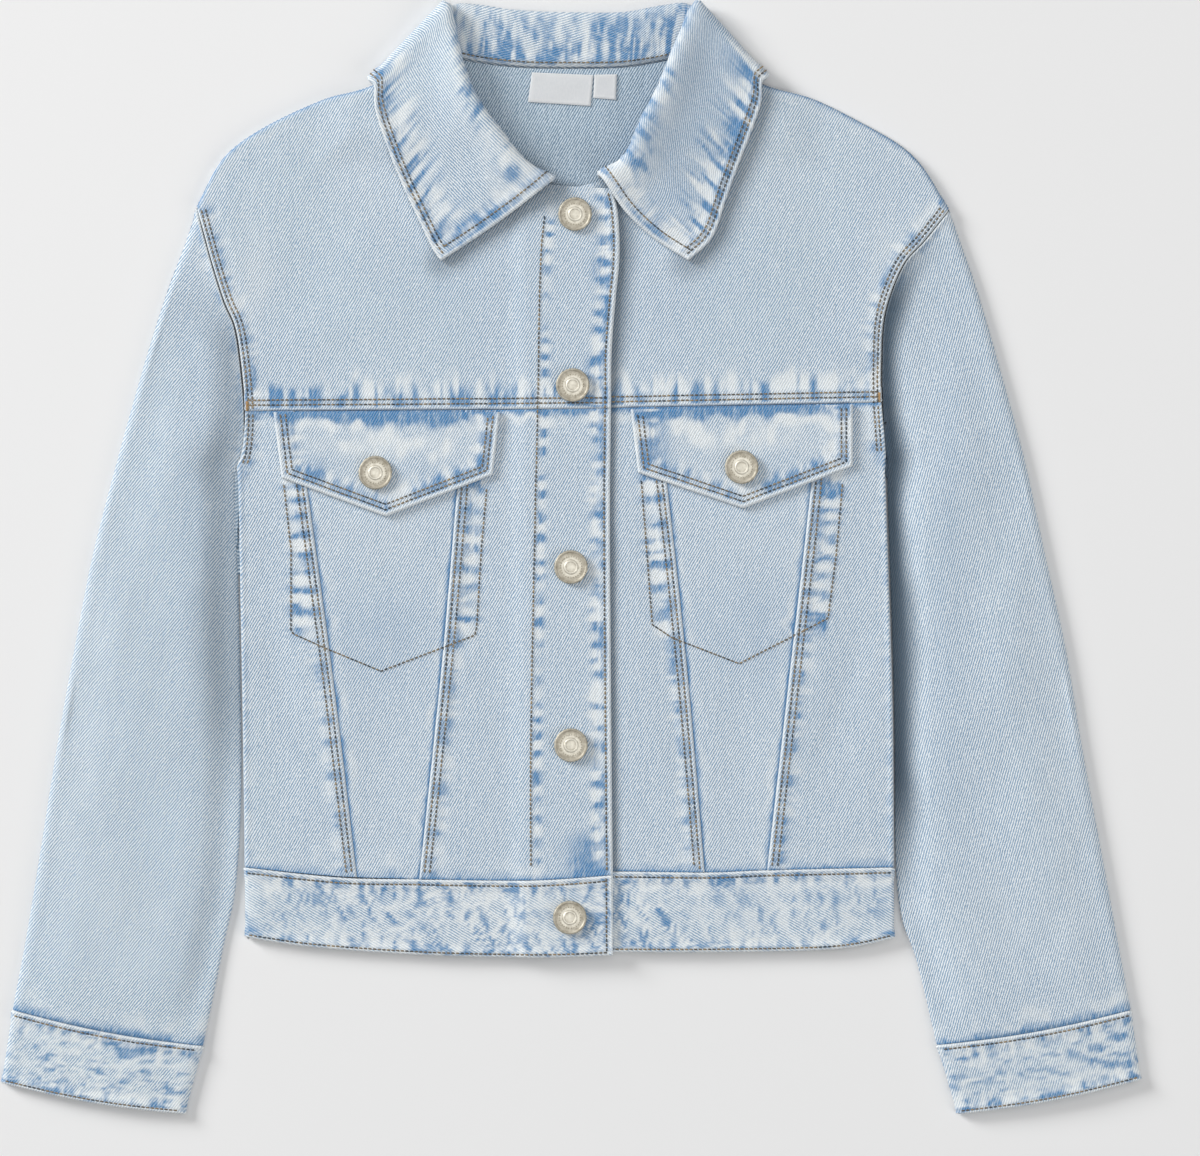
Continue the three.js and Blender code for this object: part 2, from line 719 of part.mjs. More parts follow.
// Draws a grid in by half a seam at its bottom edge, and at its top edge where that is a seam too
function drawIn(grid, vs, topAmount) {
  for (const row of grid) {
    row.forEach((p, j) => {
      p.y += lerp(HALF_SEAM, -topAmount, vs[j]);
    });
  }
  return grid;
}

function neckline(side) {
  const rows = [COLLAR_MIDDLE, ...COLLAR_BACK[side], COLLAR_TURN[side]];
  return smoothLine(rows.map((row) => ({ x: row.seamX, y: row.seamY })));
}

function frontNeckline(side) {
  const rows = [COLLAR_TURN[side], ...COLLAR_FRONT[side]];
  const seam = rows.map((row) => ({ x: row.seamX, y: row.seamY }));
  return smoothLine([...seam, FRONT_EDGE[side][0]]);
}

function frontYoke(side) {
  const { shoulder, armhole, inward } = EDGES[side];
  const seam = YOKE_SEAM[side];
  const armShare = shareAtHeight(armhole, seam.armholeY);
  const edge = smoothLine(FRONT_EDGE[side]);
  const edgeShare = shareAtHeight(edge, seam.edgeY);
  const left = shiftX(partOfLine(armhole, armShare, 0), inward * HALF_SEAM);
  const right = partOfLine(edge, edgeShare, 0);
  const split = YOKE_SHOULDER_SHARE;
  const top = joinLines(shoulder, frontNeckline(side), split);
  const bottom = straightLine(left(0), right(0));
  const us = [
    ...rollShares(YOKE_SIZE.width),
    ...spread(6, 0.07, split),
    ...spread(7, split, 1).slice(1),
  ];
  const vs = [...spread(8, 0, 0.93), ...rollEndShares(YOKE_SIZE.height)];
  const grid = drawIn(planGrid(bottom, top, left, right, us, vs), vs, 0);
  const surface = bodySurface(side, 'front', side === 'right' ? LAP : 0);
  const [outer, inner] = clothFrom(grid, surface, CLOTH);
  for (const points of [outer, inner]) {
    liftShoulder(points, us, (u) => u <= split, HALF_SEAM);
  }
  addPiece(`front_yoke_${side}`, wall(outer, inner), DENIM);
}

// Front and back stand half a seam off the shoulder line, each on its own side of it
function liftShoulder(grid, us, onShoulder, amount) {
  grid.forEach((row, i) => {
    if (onShoulder(us[i])) {
      row.at(-1).z += amount;
    }
  });
}

// One lower part of a front, between two lines that fall from the yoke seam to the waist seam
function frontStrip(side, near, far, us) {
  const vs = spread(10);
  const bottom = (t) => {
    const x = lerp(near(1).x, far(1).x, t);
    return new THREE.Vector2(x, heightOn(WAIST_SEAM[side], x));
  };
  const top = straightLine(near(0), far(0));
  const rising = (line) => (v) => line(1 - v);
  const grid = planGrid(bottom, top, rising(near), rising(far), us, vs);
  const surface = bodySurface(side, 'front', side === 'right' ? LAP : 0);
  return clothFrom(drawIn(grid, vs, HALF_SEAM), surface, CLOTH);
}

function lowerFront(side) {
  const { armhole, flank, inward } = EDGES[side];
  const seam = YOKE_SEAM[side];
  const armShare = shareAtHeight(armhole, seam.armholeY);
  const waistShare = shareAtHeight(flank, WAIST_SEAM[side][0].y);
  const edge = smoothLine(FRONT_EDGE[side]);
  const armPart = shiftX(partOfLine(armhole, armShare, 1), inward * HALF_SEAM);
  const sideLine = joinLines(armPart, partOfLine(flank, 0, waistShare), FRONT_ARMHOLE_SHARE);
  const outerSlant = smoothLine(OUTER_SLANT[side]);
  const innerSlant = smoothLine(INNER_SLANT[side]);
  const frontEdge = partOfLine(edge, shareAtHeight(edge, seam.edgeY), 1);
  const gap = inward * HALF_SEAM;
  const sideShares = [...rollShares(SIDE_STRIP_WIDTH), ...spread(4, 0.25, 1)];
  const [sideOuter, sideInner] = frontStrip(side, sideLine, shiftX(outerSlant, -gap), sideShares);
  // Its folded edge stands half a seam above the back's
  for (const p of [...sideOuter[0], ...sideInner[0]]) {
    p.z += HALF_SEAM;
  }
  addPiece(`front_side_${side}`, wall(sideOuter, sideInner), DENIM);
  const middle = frontStrip(side, shiftX(outerSlant, gap), shiftX(innerSlant, -gap), spread(7));
  addPiece(`front_middle_${side}`, wall(...middle), DENIM);
  const center = frontStrip(side, shiftX(innerSlant, gap), frontEdge, spread(9));
  addPiece(`front_center_${side}`, wall(...center), DENIM);
}

const backSurface = (x, y) => bodySurface(x < 0 ? 'right' : 'left', 'back')(x, y);

function backYoke() {
  const right = EDGES.right;
  const left = EDGES.left;
  const rightShare = shareAtHeight(right.armhole, BACK_YOKE_Y);
  const leftShare = shareAtHeight(left.armhole, BACK_YOKE_Y);
  const rise = (edges, share) => shiftX(partOfLine(edges.armhole, share, 0), edges.inward * HALF_SEAM);
  const rightRise = rise(right, rightShare);
  const leftRise = rise(left, leftShare);
  const { start, end } = BACK_NECK;
  const neckFromRight = (t) => neckline('right')(1 - t);
  const neck = joinLines(neckFromRight, neckline('left'), 0.5);
  const leftShoulder = (t) => left.shoulder(1 - t);
  const top = (t) => {
    if (t <= start) {
      return right.shoulder(t / start);
    }
    if (t <= end) {
      return neck((t - start) / (end - start));
    }
    return leftShoulder((t - end) / (1 - end));
  };
  const bottom = straightLine(rightRise(0), leftRise(0));
  const us = [
    ...rollShares(BACK_YOKE_SIZE.width),
    ...spread(5, 0.05, start),
    ...spread(8, start, end).slice(1),
    ...spread(5, end, 0.95).slice(1),
    ...rollEndShares(BACK_YOKE_SIZE.width),
  ];
  const vs = [...spread(6, 0, 0.93), ...rollEndShares(BACK_YOKE_SIZE.height)];
  const grid = drawIn(planGrid(bottom, top, rightRise, leftRise, us, vs), vs, 0);
  const [outer, inner] = clothFrom(grid, backSurface, CLOTH);
  for (const points of [outer, inner]) {
    liftShoulder(points, us, (u) => u <= start || u >= end, -HALF_SEAM);
  }
  addPiece('back_yoke', wall(outer, inner), DENIM);
}

function backBody() {
  const drop = (side) => {
    const { armhole, flank, inward } = EDGES[side];
    const yokeShare = shareAtHeight(armhole, BACK_YOKE_Y);
    const armPart = shiftX(partOfLine(armhole, yokeShare, 1), inward * HALF_SEAM);
    const waist = shareAtHeight(flank, WAIST_SEAM[side][0].y);
    return joinLines(armPart, partOfLine(flank, 0, waist), BACK_ARMHOLE_SHARE);
  };
  const right = drop('right');
  const left = drop('left');
  const bottom = straightLine(right(1), left(1));
  const top = straightLine(right(0), left(0));
  const us = [
    ...rollShares(BACK_BODY_WIDTH),
    ...spread(8, 0.04, 0.96),
    ...rollEndShares(BACK_BODY_WIDTH),
  ];
  const vs = spread(10);
  const grid = planGrid(bottom, top, (v) => right(1 - v), (v) => left(1 - v), us, vs);
  const [outer, inner] = clothFrom(drawIn(grid, vs, HALF_SEAM), backSurface, CLOTH);
  // Its folded edges stand half a seam below the front's
  for (const i of [0, outer.length - 1]) {
    outer[i].forEach((p, j) => {
      const folded = Math.min(p.z / ROLL, 1);
      p.z -= HALF_SEAM * folded;
      inner[i][j].z -= HALF_SEAM * folded;
    });
  }
  addPiece('back_body', wall(outer, inner), DENIM);
}

// Plan lines across a sleeve at a share of its length: armhole shape fades out below the cap
function sleeveAcross(side, share) {
  const { armhole, inner, outer, inward } = EDGES[side];
  const gap = new THREE.Vector2(-inward * SEAM_BESIDE, -SEAM);
  const from = outer(share);
  const to = inner(share);
  const top = armhole(0);
  const bottom = armhole(1);
  const fade = (1 - smooth(share, 0, CAP_SHARE)) ** CAP_POWER;
  return (across) => {
    const point = new THREE.Vector2(lerp(from.x, to.x, across), lerp(from.y, to.y, across));
    const chord = new THREE.Vector2(lerp(top.x, bottom.x, across), lerp(top.y, bottom.y, across));
    const bulge = armhole(across).clone().sub(chord);
    return point.addScaledVector(bulge, fade).addScaledVector(gap, fade);
  };
}

function cuffAcross(side, share) {
  const cuff = CUFF[side];
  const from = straightLine(cuff.topOuter, cuff.bottomOuter)(share);
  const to = straightLine(cuff.topInner, cuff.bottomInner)(share);
  return (across) => new THREE.Vector2(
    lerp(from.x, to.x, across),
    lerp(from.y, to.y, across) - cuff.sag * Math.sin(Math.PI * across),
  );
}

function tube(name, side, lines, thickness) {
  const frontShares = (width) => [
    ...rollShares(width, SLEEVE_OUTER_SLOPE),
    ...spread(7, 0.14, 0.82),
    ...rollEndShares(width, SLEEVE_INNER_SLOPE),
  ];
  const backShares = (width) => [
    ...rollShares(width),
    ...spread(3, 0.14, 0.86),
    ...rollEndShares(width),
  ];
  const front = sleeveSurface(side, 'front');
  const back = sleeveSurface(side, 'back');
  const outer = [];
  const inner = [];
  for (const line of lines) {
    const width = line(0).distanceTo(line(1));
    const over = frontShares(width).map((share) => line(share));
    const under = backShares(width).reverse().slice(1, -1).map((share) => line(share));
    const seats = [
      ...over.map((p) => front(p.x, p.y)),
      ...under.map((p) => back(p.x, p.y)),
    ];
    outer.push(seats.map((s) => s.point));
    inner.push(seats.map((s) => s.point.clone().addScaledVector(s.normal, -thickness)));
  }
  const turn = (grid) => grid[0].map((_, j) => grid.map((row) => row[j]));
  addPiece(name, wall(turn(outer), turn(inner), true), DENIM);
}

function sleeve(side) {
  const shares = [0, 0.03, 0.08, 0.14, ...spread(11, 0.21, 1)];
  const lines = shares.map((share) => sleeveAcross(side, share));
  const seam = cuffAcross(side, 0);
  lines[lines.length - 1] = (across) => seam(across).add(new THREE.Vector2(0, SEAM));
  tube(`sleeve_${side}`, side, lines, CLOTH);
  const cuffLines = spread(3).map((share) => cuffAcross(side, share));
  tube(`cuff_${side}`, side, cuffLines, DOUBLE);
}

// The height of a line at an x, for lines that run steadily across
function heightOn(rows, x) {
  const sorted = [...rows].sort((a, b) => a.x - b.x);
  const line = smoothLine(sorted);
  let low = 0;
  let high = 1;
  for (let step = 0; step < 26; step += 1) {
    const middle = (low + high) / 2;
    if (line(middle).x < x) {
      low = middle;
    } else {
      high = middle;
    }
  }
  return line((low + high) / 2).y;
}

// One strip from the right front edge round the back to the left front edge
function waistband() {
  const rollX = ROLL_STEPS.map((share) => share * ROLL);
  const rightEdge = (y) => flankX('right', y);
  const leftEdge = (y) => flankX('left', y);
  const outer = [];
  const inner = [];
  const addRow = (shareOf, top, bottom, surface) => {
    const row = [0, 0.5, 1].map((v) => {
      const y = lerp(bottom, top, v);
      return surface(shareOf(y), y);
    });
    outer.push(row.map((s) => s.point));
    inner.push(row.map((s) => s.point.clone().addScaledVector(s.normal, -DOUBLE)));
  };
  const seamY = (side, x) => heightOn(WAIST_SEAM[side], x) - HALF_SEAM;
  const hemY = (side, x) => heightOn(HEM[side], x);
  const backHem = (x) => lerp(BACK_HEM.sideY, BACK_HEM.middleY, 1 - (x / BACK_HEM.halfWidth) ** 2);
  const backSeam = WAIST_SEAM.right[0].y - HALF_SEAM;
  const front = (side) => bodySurface(side, 'front', side === 'right' ? BAND_LAP : 0);
  const addFront = (side, x) => addRow(() => x, seamY(side, x), hemY(side, x), front(side));
  for (const x of spread(16, BAND_FLAT.frontEdgeX, BAND_FLAT.rightX)) {
    addFront('right', x);
  }
  const turnRows = (side, edge, inward, shares, face) => {
    for (const d of shares) {
      const x = edge(BAND_FLAT.foldY) + inward * d;
      const top = face === 'front' ? seamY(side, x) : backSeam;
      const bottom = face === 'front' ? hemY(side, x) : backHem(x);
      addRow((y) => edge(y) + inward * d, top, bottom, bodySurface(side, face));
    }
  };
  turnRows('right', rightEdge, 1, [...rollX].reverse(), 'front');
  turnRows('right', rightEdge, 1, rollX.slice(1), 'back');
  for (const x of spread(12, BAND_FLAT.rightX, BAND_FLAT.leftX)) {
    addRow(() => x, backSeam, backHem(x), backSurface);
  }
  turnRows('left', leftEdge, -1, [...rollX].reverse(), 'back');
  turnRows('left', leftEdge, -1, rollX.slice(1), 'front');
  for (const x of spread(14, BAND_FLAT.leftX, UNDERLAP_X)) {
    addFront('left', x);
  }
  addPiece('waistband', wall(outer, inner), DENIM);
}

function flankX(side, y) {
  const line = smoothLine(FLANK[side]);
  return line(shareAtHeight(line, y)).x;
}

function flap(side) {
  const f = FLAP[side];
  const bottom = joinLines(straightLine(f.sideOuter, f.tip), straightLine(f.tip, f.sideInner), 0.5);
  const top = straightLine(f.topOuter, f.topInner);
  const outerEdge = straightLine(f.sideOuter, f.topOuter);
  const innerEdge = straightLine(f.sideInner, f.topInner);
  const grid = planGrid(bottom, top, outerEdge, innerEdge, spread(12), spread(5));
  const surface = bodySurface(side, 'front', side === 'right' ? LAP : 0);
  const [outer, inner] = clothFrom(grid, surface, DOUBLE, SEAM);
  addPiece(`flap_${side}`, wall(outer, inner), DENIM);
  button(`flap_button_${side}`, f.button, surface(f.button.x, f.button.y).point.z + DOUBLE + SEAM);
}

function button(name, place, z) {
  const profile = BUTTON_PROFILE.map((row) => new THREE.Vector2(row.share * BUTTON_RADIUS, row.z));
  const head = addPiece(name, new THREE.LatheGeometry(profile, 18), METAL);
  head.rotation.x = Math.PI / 2;
  head.position.set(place.x, place.y, z + SEAM);
}

function buttons() {
  const front = bodySurface('right', 'front', LAP);
  const band = bodySurface('right', 'front', BAND_LAP);
  FRONT_BUTTONS.forEach((place, i) => {
    const seat = i === FRONT_BUTTONS.length - 1 ? band : front;
    button(`button_${i + 1}`, place, seat(place.x, place.y).point.z);
  });
}

function label(name, corners) {
  const [a, b, c, d] = corners;
  const bottom = straightLine(d, c);
  const top = straightLine(a, b);
  const grid = planGrid(bottom, top, straightLine(d, a), straightLine(c, b), spread(4), spread(3));
  const seat = (x, y) => ({
    point: new THREE.Vector3(x, y, neckLift(x, y) + CLOTH),
    normal: new THREE.Vector3(0, 0, 1),
  });
  const [outer, inner] = clothFrom(grid, seat, LABEL_THICKNESS, SEAM);
  addPiece(name, wall(outer, inner), LABEL);
}

// The highest cloth of the fronts at a place, for the collar to rest on
function frontHeight(x, y) {
  const fromRight = 1 - smooth(-x, LAP_RISE.full, LAP_RISE.gone);
  const fromLeft = 1 - smooth(x, LAP_END.from, LAP_END.to);
  return TOP + neckLift(x, y) + foldHeight(x, y) + LAP * fromRight * fromLeft;
}

// Section points of the collar at one row: neck seam, stand, roll, crest, leaf and edge
function collarSection(row, lie) {
  const seam = new THREE.Vector2(row.seamX, row.seamY);
  const roll = new THREE.Vector2(row.rollX, row.rollY);
  const edge = new THREE.Vector2(row.edgeX, row.edgeY);
  const up = roll.clone().sub(seam).normalize();
  const out = edge.clone().sub(roll).normalize();
  const foot = seam.clone().addScaledVector(up, lie.footOut);
  const on = (plan, z) => new THREE.Vector3(plan.x, plan.y, z);
  const stand = foot.clone().lerp(roll, lie.standShare);
  const crest = roll.clone().addScaledVector(out, lie.crestOut);
  const bow = new THREE.Vector2(-out.y, out.x).multiplyScalar(lie.bow || 0);
  const leaf = (share) => roll.clone().lerp(edge, share).addScaledVector(bow, 4 * share * (1 - share));
  const resting = [...LEAF_SHARES.map((share) => [leaf(share), share]), [edge, 1]];
  return [
    on(foot, lie.seamZ),
    on(stand, lie.standZ),
    on(roll, lie.rollZ),
    on(crest, lie.crestZ),
    ...resting.map(([plan, share]) => on(plan, lie.restZ(plan, share))),
  ];
}

function backSection(row) {
  return collarSection(row, {
    ...BACK_LIE,
    seamZ: NECK_LIFT + CLOTH / 2 + BACK_LIE.seamRise,
    standZ: NECK_LIFT + BACK_LIE.standRise,
    crestZ: FLOOR_Z + BACK_LIE.crestRise,
    restZ: () => FLOOR_Z,
  });
}

function frontSection(row, bow) {
  const seat = frontHeight(row.seamX, row.seamY) - CLOTH / 2;
  return collarSection(row, {
    ...FRONT_LIE,
    seamZ: seat,
    standZ: lerp(seat, row.rollZ, FRONT_LIE.standRise),
    rollZ: row.rollZ - FRONT_LIE.rollDrop,
    crestZ: row.rollZ,
    bow,
    restZ: (plan, share) => {
      const rest = frontHeight(plan.x, plan.y) + LEAF_CLEAR + DOUBLE / 2;
      return rest + Math.max(0, row.rollZ - rest) * (1 - share) ** LEAF_POWER;
    },
  });
}

// The collar turns from under the yoke to over the front in half a circle at the shoulder
function turnSections(row, firstFront) {
  const below = backSection(row);
  const above = frontSection({ ...row, rollZ: firstFront.rollZ - 1 });
  const roll = new THREE.Vector2(row.rollX, row.rollY);
  const edge = new THREE.Vector2(row.edgeX, row.edgeY);
  const along = edge.clone().sub(roll).normalize();
  const toMiddle = new THREE.Vector2(-along.y, along.x);
  if (toMiddle.x * row.edgeX > 0) {
    toMiddle.negate();
  }
  return TURN_ANGLES.map((degrees) => {
    const angle = THREE.MathUtils.degToRad(degrees);
    return below.map((low, k) => {
      const high = above[k];
      const radius = (high.z - low.z) / 2;
      const inwards = Math.min(radius, TURN_RADIUS) * (1 - Math.cos(angle));
      const z = (high.z + low.z) / 2 + radius * Math.sin(angle);
      const share = (Math.sin(angle) + 1) / 2;
      return new THREE.Vector3(
        lerp(low.x, high.x, share) + toMiddle.x * inwards,
        lerp(low.y, high.y, share) + toMiddle.y * inwards,
        z,
      );
    });
  });
}

function collar() {
  const half = (side) => [
    ...COLLAR_BACK[side].map(backSection),
    ...turnSections(COLLAR_TURN[side], COLLAR_FRONT[side][0]),
    ...COLLAR_FRONT[side].map((row, i) => {
      const last = i === COLLAR_FRONT[side].length - 1;
      const sign = side === 'right' ? 1 : -1;
      return frontSection(row, last ? sign * COLLAR_END_BOW[side] : 0);
    }),
  ];
  const sections = [...half('right').reverse(), backSection(COLLAR_MIDDLE), ...half('left')];
  const through = (points) => new THREE.CatmullRomCurve3(points, false, 'centripetal');
  const strands = sections[0].map((_, k) => through(sections.map((s) => s[k])));
  const rings = [];
  const steps = 2 * (sections.length - 1);
  for (let i = 0; i <= steps; i += 1) {
    const section = through(strands.map((strand) => strand.getPoint(i / steps)));
    rings.push(spread(12).map((t) => section.getPoint(t)));
  }
  const normals = rings.map((ring, i) => ring.map((_, j) => {
    const alongRing = rings[Math.min(i + 1, steps)][j].clone().sub(rings[Math.max(i - 1, 0)][j]);
    const last = ring.length - 1;
    const alongSection = ring[Math.min(j + 1, last)].clone().sub(ring[Math.max(j - 1, 0)]);
    return alongSection.cross(alongRing).normalize();
  }));
  const offset = (amount) => rings.map((ring, i) => ring.map((p, j) => {
    const moved = p.clone().addScaledVector(normals[i][j], amount);
    moved.z = Math.max(moved.z, 0);
    return moved;
  }));
  addPiece('collar', wall(offset(DOUBLE / 2), offset(-DOUBLE / 2)), DENIM);
}

backYoke();
backBody();
for (const side of SIDES) {
  frontYoke(side);
  lowerFront(side);
  sleeve(side);
  flap(side);
}
waistband();
collar();
buttons();
label('label_main', LABEL_MAIN);
label('label_size', LABEL_SIZE);

export default jacket;
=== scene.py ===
"""Child's denim jacket, laid flat, fastened, front side up.

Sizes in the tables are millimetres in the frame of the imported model: +X is the viewer's right,
+Y runs towards the collar and +Z is up off the table. "right" and "left" are the wearer's.
"""
import math
from functools import partial

import bpy
import numpy as np
from bpy.props import FloatProperty, FloatVectorProperty, PointerProperty
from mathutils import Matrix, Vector
from mathutils.bvhtree import BVHTree


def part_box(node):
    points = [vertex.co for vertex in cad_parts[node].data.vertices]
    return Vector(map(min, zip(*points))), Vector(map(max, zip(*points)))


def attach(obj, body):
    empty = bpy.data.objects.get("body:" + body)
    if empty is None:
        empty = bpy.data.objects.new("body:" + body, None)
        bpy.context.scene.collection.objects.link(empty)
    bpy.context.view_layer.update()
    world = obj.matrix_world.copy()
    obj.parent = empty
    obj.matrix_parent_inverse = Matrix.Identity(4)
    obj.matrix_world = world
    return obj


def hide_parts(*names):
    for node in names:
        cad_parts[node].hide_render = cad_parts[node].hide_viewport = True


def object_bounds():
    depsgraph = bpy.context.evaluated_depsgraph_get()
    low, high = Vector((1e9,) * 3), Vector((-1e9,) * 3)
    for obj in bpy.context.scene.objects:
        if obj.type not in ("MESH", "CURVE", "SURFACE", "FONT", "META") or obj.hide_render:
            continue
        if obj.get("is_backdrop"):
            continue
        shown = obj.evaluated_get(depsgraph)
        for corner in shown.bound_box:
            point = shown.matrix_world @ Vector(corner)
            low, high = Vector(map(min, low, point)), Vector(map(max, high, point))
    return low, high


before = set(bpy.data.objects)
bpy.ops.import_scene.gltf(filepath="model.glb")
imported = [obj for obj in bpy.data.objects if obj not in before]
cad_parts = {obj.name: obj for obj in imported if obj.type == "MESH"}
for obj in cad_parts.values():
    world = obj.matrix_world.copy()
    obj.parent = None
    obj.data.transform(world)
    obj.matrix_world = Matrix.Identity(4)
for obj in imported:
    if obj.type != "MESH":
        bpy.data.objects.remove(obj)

bl_info = {
    "name": "Denim Jacket",
    "version": (1, 0, 0),
    "blender": (4, 5, 0),
    "location": "View3D > Sidebar > Jacket",
    "description": "Makes a light-wash denim jacket laid flat, on the solids of its packed model",
    "category": "Object",
}

MM = 0.001
SIDES = ("right", "left")

# The photograph's width, middle and place of the origin in pixels, and millimetres to a pixel
PHOTO_WIDTH = 1200
PHOTO_MIDDLE = (600, 578)
ORIGIN_PIXEL = (571, 558.2)
PIXEL = 0.52
# Width of the camera's sensor in millimetres
SENSOR = 36

# Gap between panels, rolled edges and heights of the cloth as it lies, in millimetres
SEAM = 0.3
HALF_SEAM = SEAM / 2
ROLL = 2.6
TOP = 2 * ROLL
LEFT_FLANK_ROLL = 1.5
SLEEVE_OUTER_SLOPE = 5.0
SLEEVE_INNER_SLOPE = 9.0
SLEEVE_SWELL = 0.8
ARMHOLE_LEVEL_Y = 128.0
UNDERLAP_X = -18.7
BACK_YOKE_Y = 100.0
NECK_LIFT = 2.0 + 2 * SEAM
# Distances from the middle between which the overlap of the front fades out
LAP_FADE = (22, 34)
# Share of the front yoke's top that is its shoulder, and how far its side keeps from the armhole
SHOULDER_SHARE = 0.58
ARMHOLE_GAP = 0.03
CUFF_GAP = 0.1
SLEEVE_LENGTH = 430
# Width of the cuffs and the waistband, and where the waistband's front end, flanks and back hem lie
BAND_WIDTH = 40
BAND_END_X = 21.9
BAND_FLANK_X = {"right": -169.6, "left": 168.0}
BACK_HEM_Y = (-197.2, -203.5)
COLLAR_STANDOFF = 2.1
LEAF_CLEAR = 0.7
# Distances from a sewn edge at which its rows of mesh lie
EDGE_STEPS = (0.0, 0.3, 0.7, 1.15, 1.65, 2.2, 2.8, 3.5, 4.3)
CURVE_STEPS = 20
# Half the thread of a stitch as a share of its pitch, how high it lies, and where a row starts and ends
STITCH_HALF = 0.44
STITCH_LIFT = 0.18
STITCH_MARGIN = 1.5
# Distance between the twill's lines in metres, and the direction across them in degrees
TWILL_PITCH = 0.00122
TWILL_ACROSS = 150

# Outlines by (x, y), from the collar down
SHOULDER = {
    "right": [(-194.5, 182.1), (-185.6, 201.5), (-174.7, 214.3), (-155.0, 226.8),
              (-127.9, 239.0), (-105.0, 245.2), (-69.2, 262.2)],
    "left": [(196.5, 181.0), (184.6, 201.5), (172.1, 214.3), (150.8, 226.8),
             (125.8, 239.0), (101.0, 246.0), (64.0, 262.2)],
}
ARMHOLE = {
    "right": [(-194.5, 182.1), (-187.2, 155.1), (-180.4, 133.7), (-174.7, 120.2),
              (-171.6, 101.0), (-169.6, 76.5), (-170.6, 57.0), (-173.6, 46.9)],
    "left": [(196.5, 181.0), (184.1, 165.5), (173.7, 154.0), (166.4, 138.0),
             (162.4, 122.0), (161.4, 101.0), (161.6, 81.0), (163.4, 53.7)],
}
FLANK = {
    "right": [(-173.6, 46.9), (-173.0, 30.0), (-171.0, -73.7), (-169.8, -160.6), (-169.3, -197.0)],
    "left": [(163.4, 53.7), (163.9, 30.0), (167.2, -73.7), (168.0, -160.6), (168.0, -197.5)],
}
SLEEVE_OUTER = {
    "right": [(-194.5, 182.1), (-200.2, 164.4), (-209.6, 139.5), (-221.5, 102.0), (-235.6, 52.1),
              (-248.6, 2.2), (-258.4, -47.7), (-267.3, -97.7), (-277.2, -160.0),
              (-284.4, -203.0), (-290.5, -234.9)],
    "left": [(196.5, 181.0), (202.3, 164.4), (211.0, 139.5), (222.0, 102.0), (235.6, 52.1),
             (246.5, 2.2), (257.4, -47.7), (265.7, -97.7), (277.2, -160.0),
             (286.0, -208.0), (291.2, -234.9)],
}
SLEEVE_INNER = {
    "right": [(-174.4, 46.9), (-174.0, 30.0), (-171.9, -73.7), (-171.9, -130.0), (-174.7, -172.5),
              (-179.9, -197.5), (-191.4, -253.7)],
    "left": [(164.1, 53.7), (164.6, 30.0), (167.9, -73.7), (168.7, -150.0), (171.6, -185.0),
             (180.0, -210.0), (190.3, -253.2)],
}
CUFF_SAG = 2.2
CUFF = {
    "right": {"top_outer": (-290.5, -234.9), "top_inner": (-191.4, -253.7),
              "bottom_outer": (-296.1, -272.9), "bottom_inner": (-200.9, -289.2)},
    "left": {"top_outer": (291.2, -234.9), "top_inner": (190.3, -253.2),
             "bottom_outer": (296.4, -271.2), "bottom_inner": (201.1, -289.2)},
}
WAIST_SEAM = {
    "right": [(-169.8, -160.6), (-120.1, -165.9), (-79.0, -166.8), (-20.8, -167.4), (21.8, -164.6)],
    "left": [(168.0, -160.6), (101.9, -162.1), (71.8, -163.2), (21.8, -162.7), (UNDERLAP_X, -162.7)],
}
HEM = {
    "right": [(-169.3, -197.0), (-134.7, -202.2), (-76.4, -206.3), (-17.7, -207.6), (22.2, -206.3)],
    "left": [(168.0, -197.5), (137.3, -203.2), (78.0, -204.8), (22.9, -204.8), (UNDERLAP_X, -204.8)],
}
FRONT_EDGE = {
    "right": [(22.0, 192.0), (24.4, 179.5), (25.3, 157.7), (23.2, 134.0), (21.2, 108.3),
              (20.8, 77.8), (20.3, 20.0), (21.0, -90.0), (21.8, -164.6)],
    "left": [(UNDERLAP_X, 188.5), (UNDERLAP_X, 77.5), (UNDERLAP_X, -162.7)],
}
# Height of the yoke seam at the armhole and at the front edge
YOKE_SEAM = {"right": (76.5, 77.8), "left": (81.0, 77.5)}
OUTER_SLANT = {
    "right": [(-143.5, 76.5), (-136.9, 34.9), (-122.9, -68.5), (-111.3, -165.8)],
    "left": [(127.4, 80.1), (124.6, 36.5), (113.4, -62.0), (101.9, -162.1)],
}
INNER_SLANT = {
    "right": [(-55.1, 77.0), (-59.3, 35.5), (-67.2, -55.0), (-79.0, -166.8)],
    "left": [(44.0, 78.6), (49.9, 38.6), (60.6, -60.0), (69.5, -163.2)],
}
FLAP = {
    "right": {"top_outer": (-154.6, 75.9), "side_outer": (-150.4, 41.7), "tip": (-96.3, 21.6),
              "side_inner": (-40.6, 43.3), "top_inner": (-36.8, 75.9), "button": (-101.6, 44.4)},
    "left": {"top_outer": (146.4, 79.8), "side_outer": (146.4, 47.8), "tip": (89.5, 25.8),
             "side_inner": (34.8, 44.4), "top_inner": (30.9, 77.3), "button": (88.6, 47.3)},
}
FRONT_BUTTONS = [(2.1, 178.7), (0.9, 89.9), (0.0, -4.6), (0.0, -97.1), (-0.6, -186.6)]
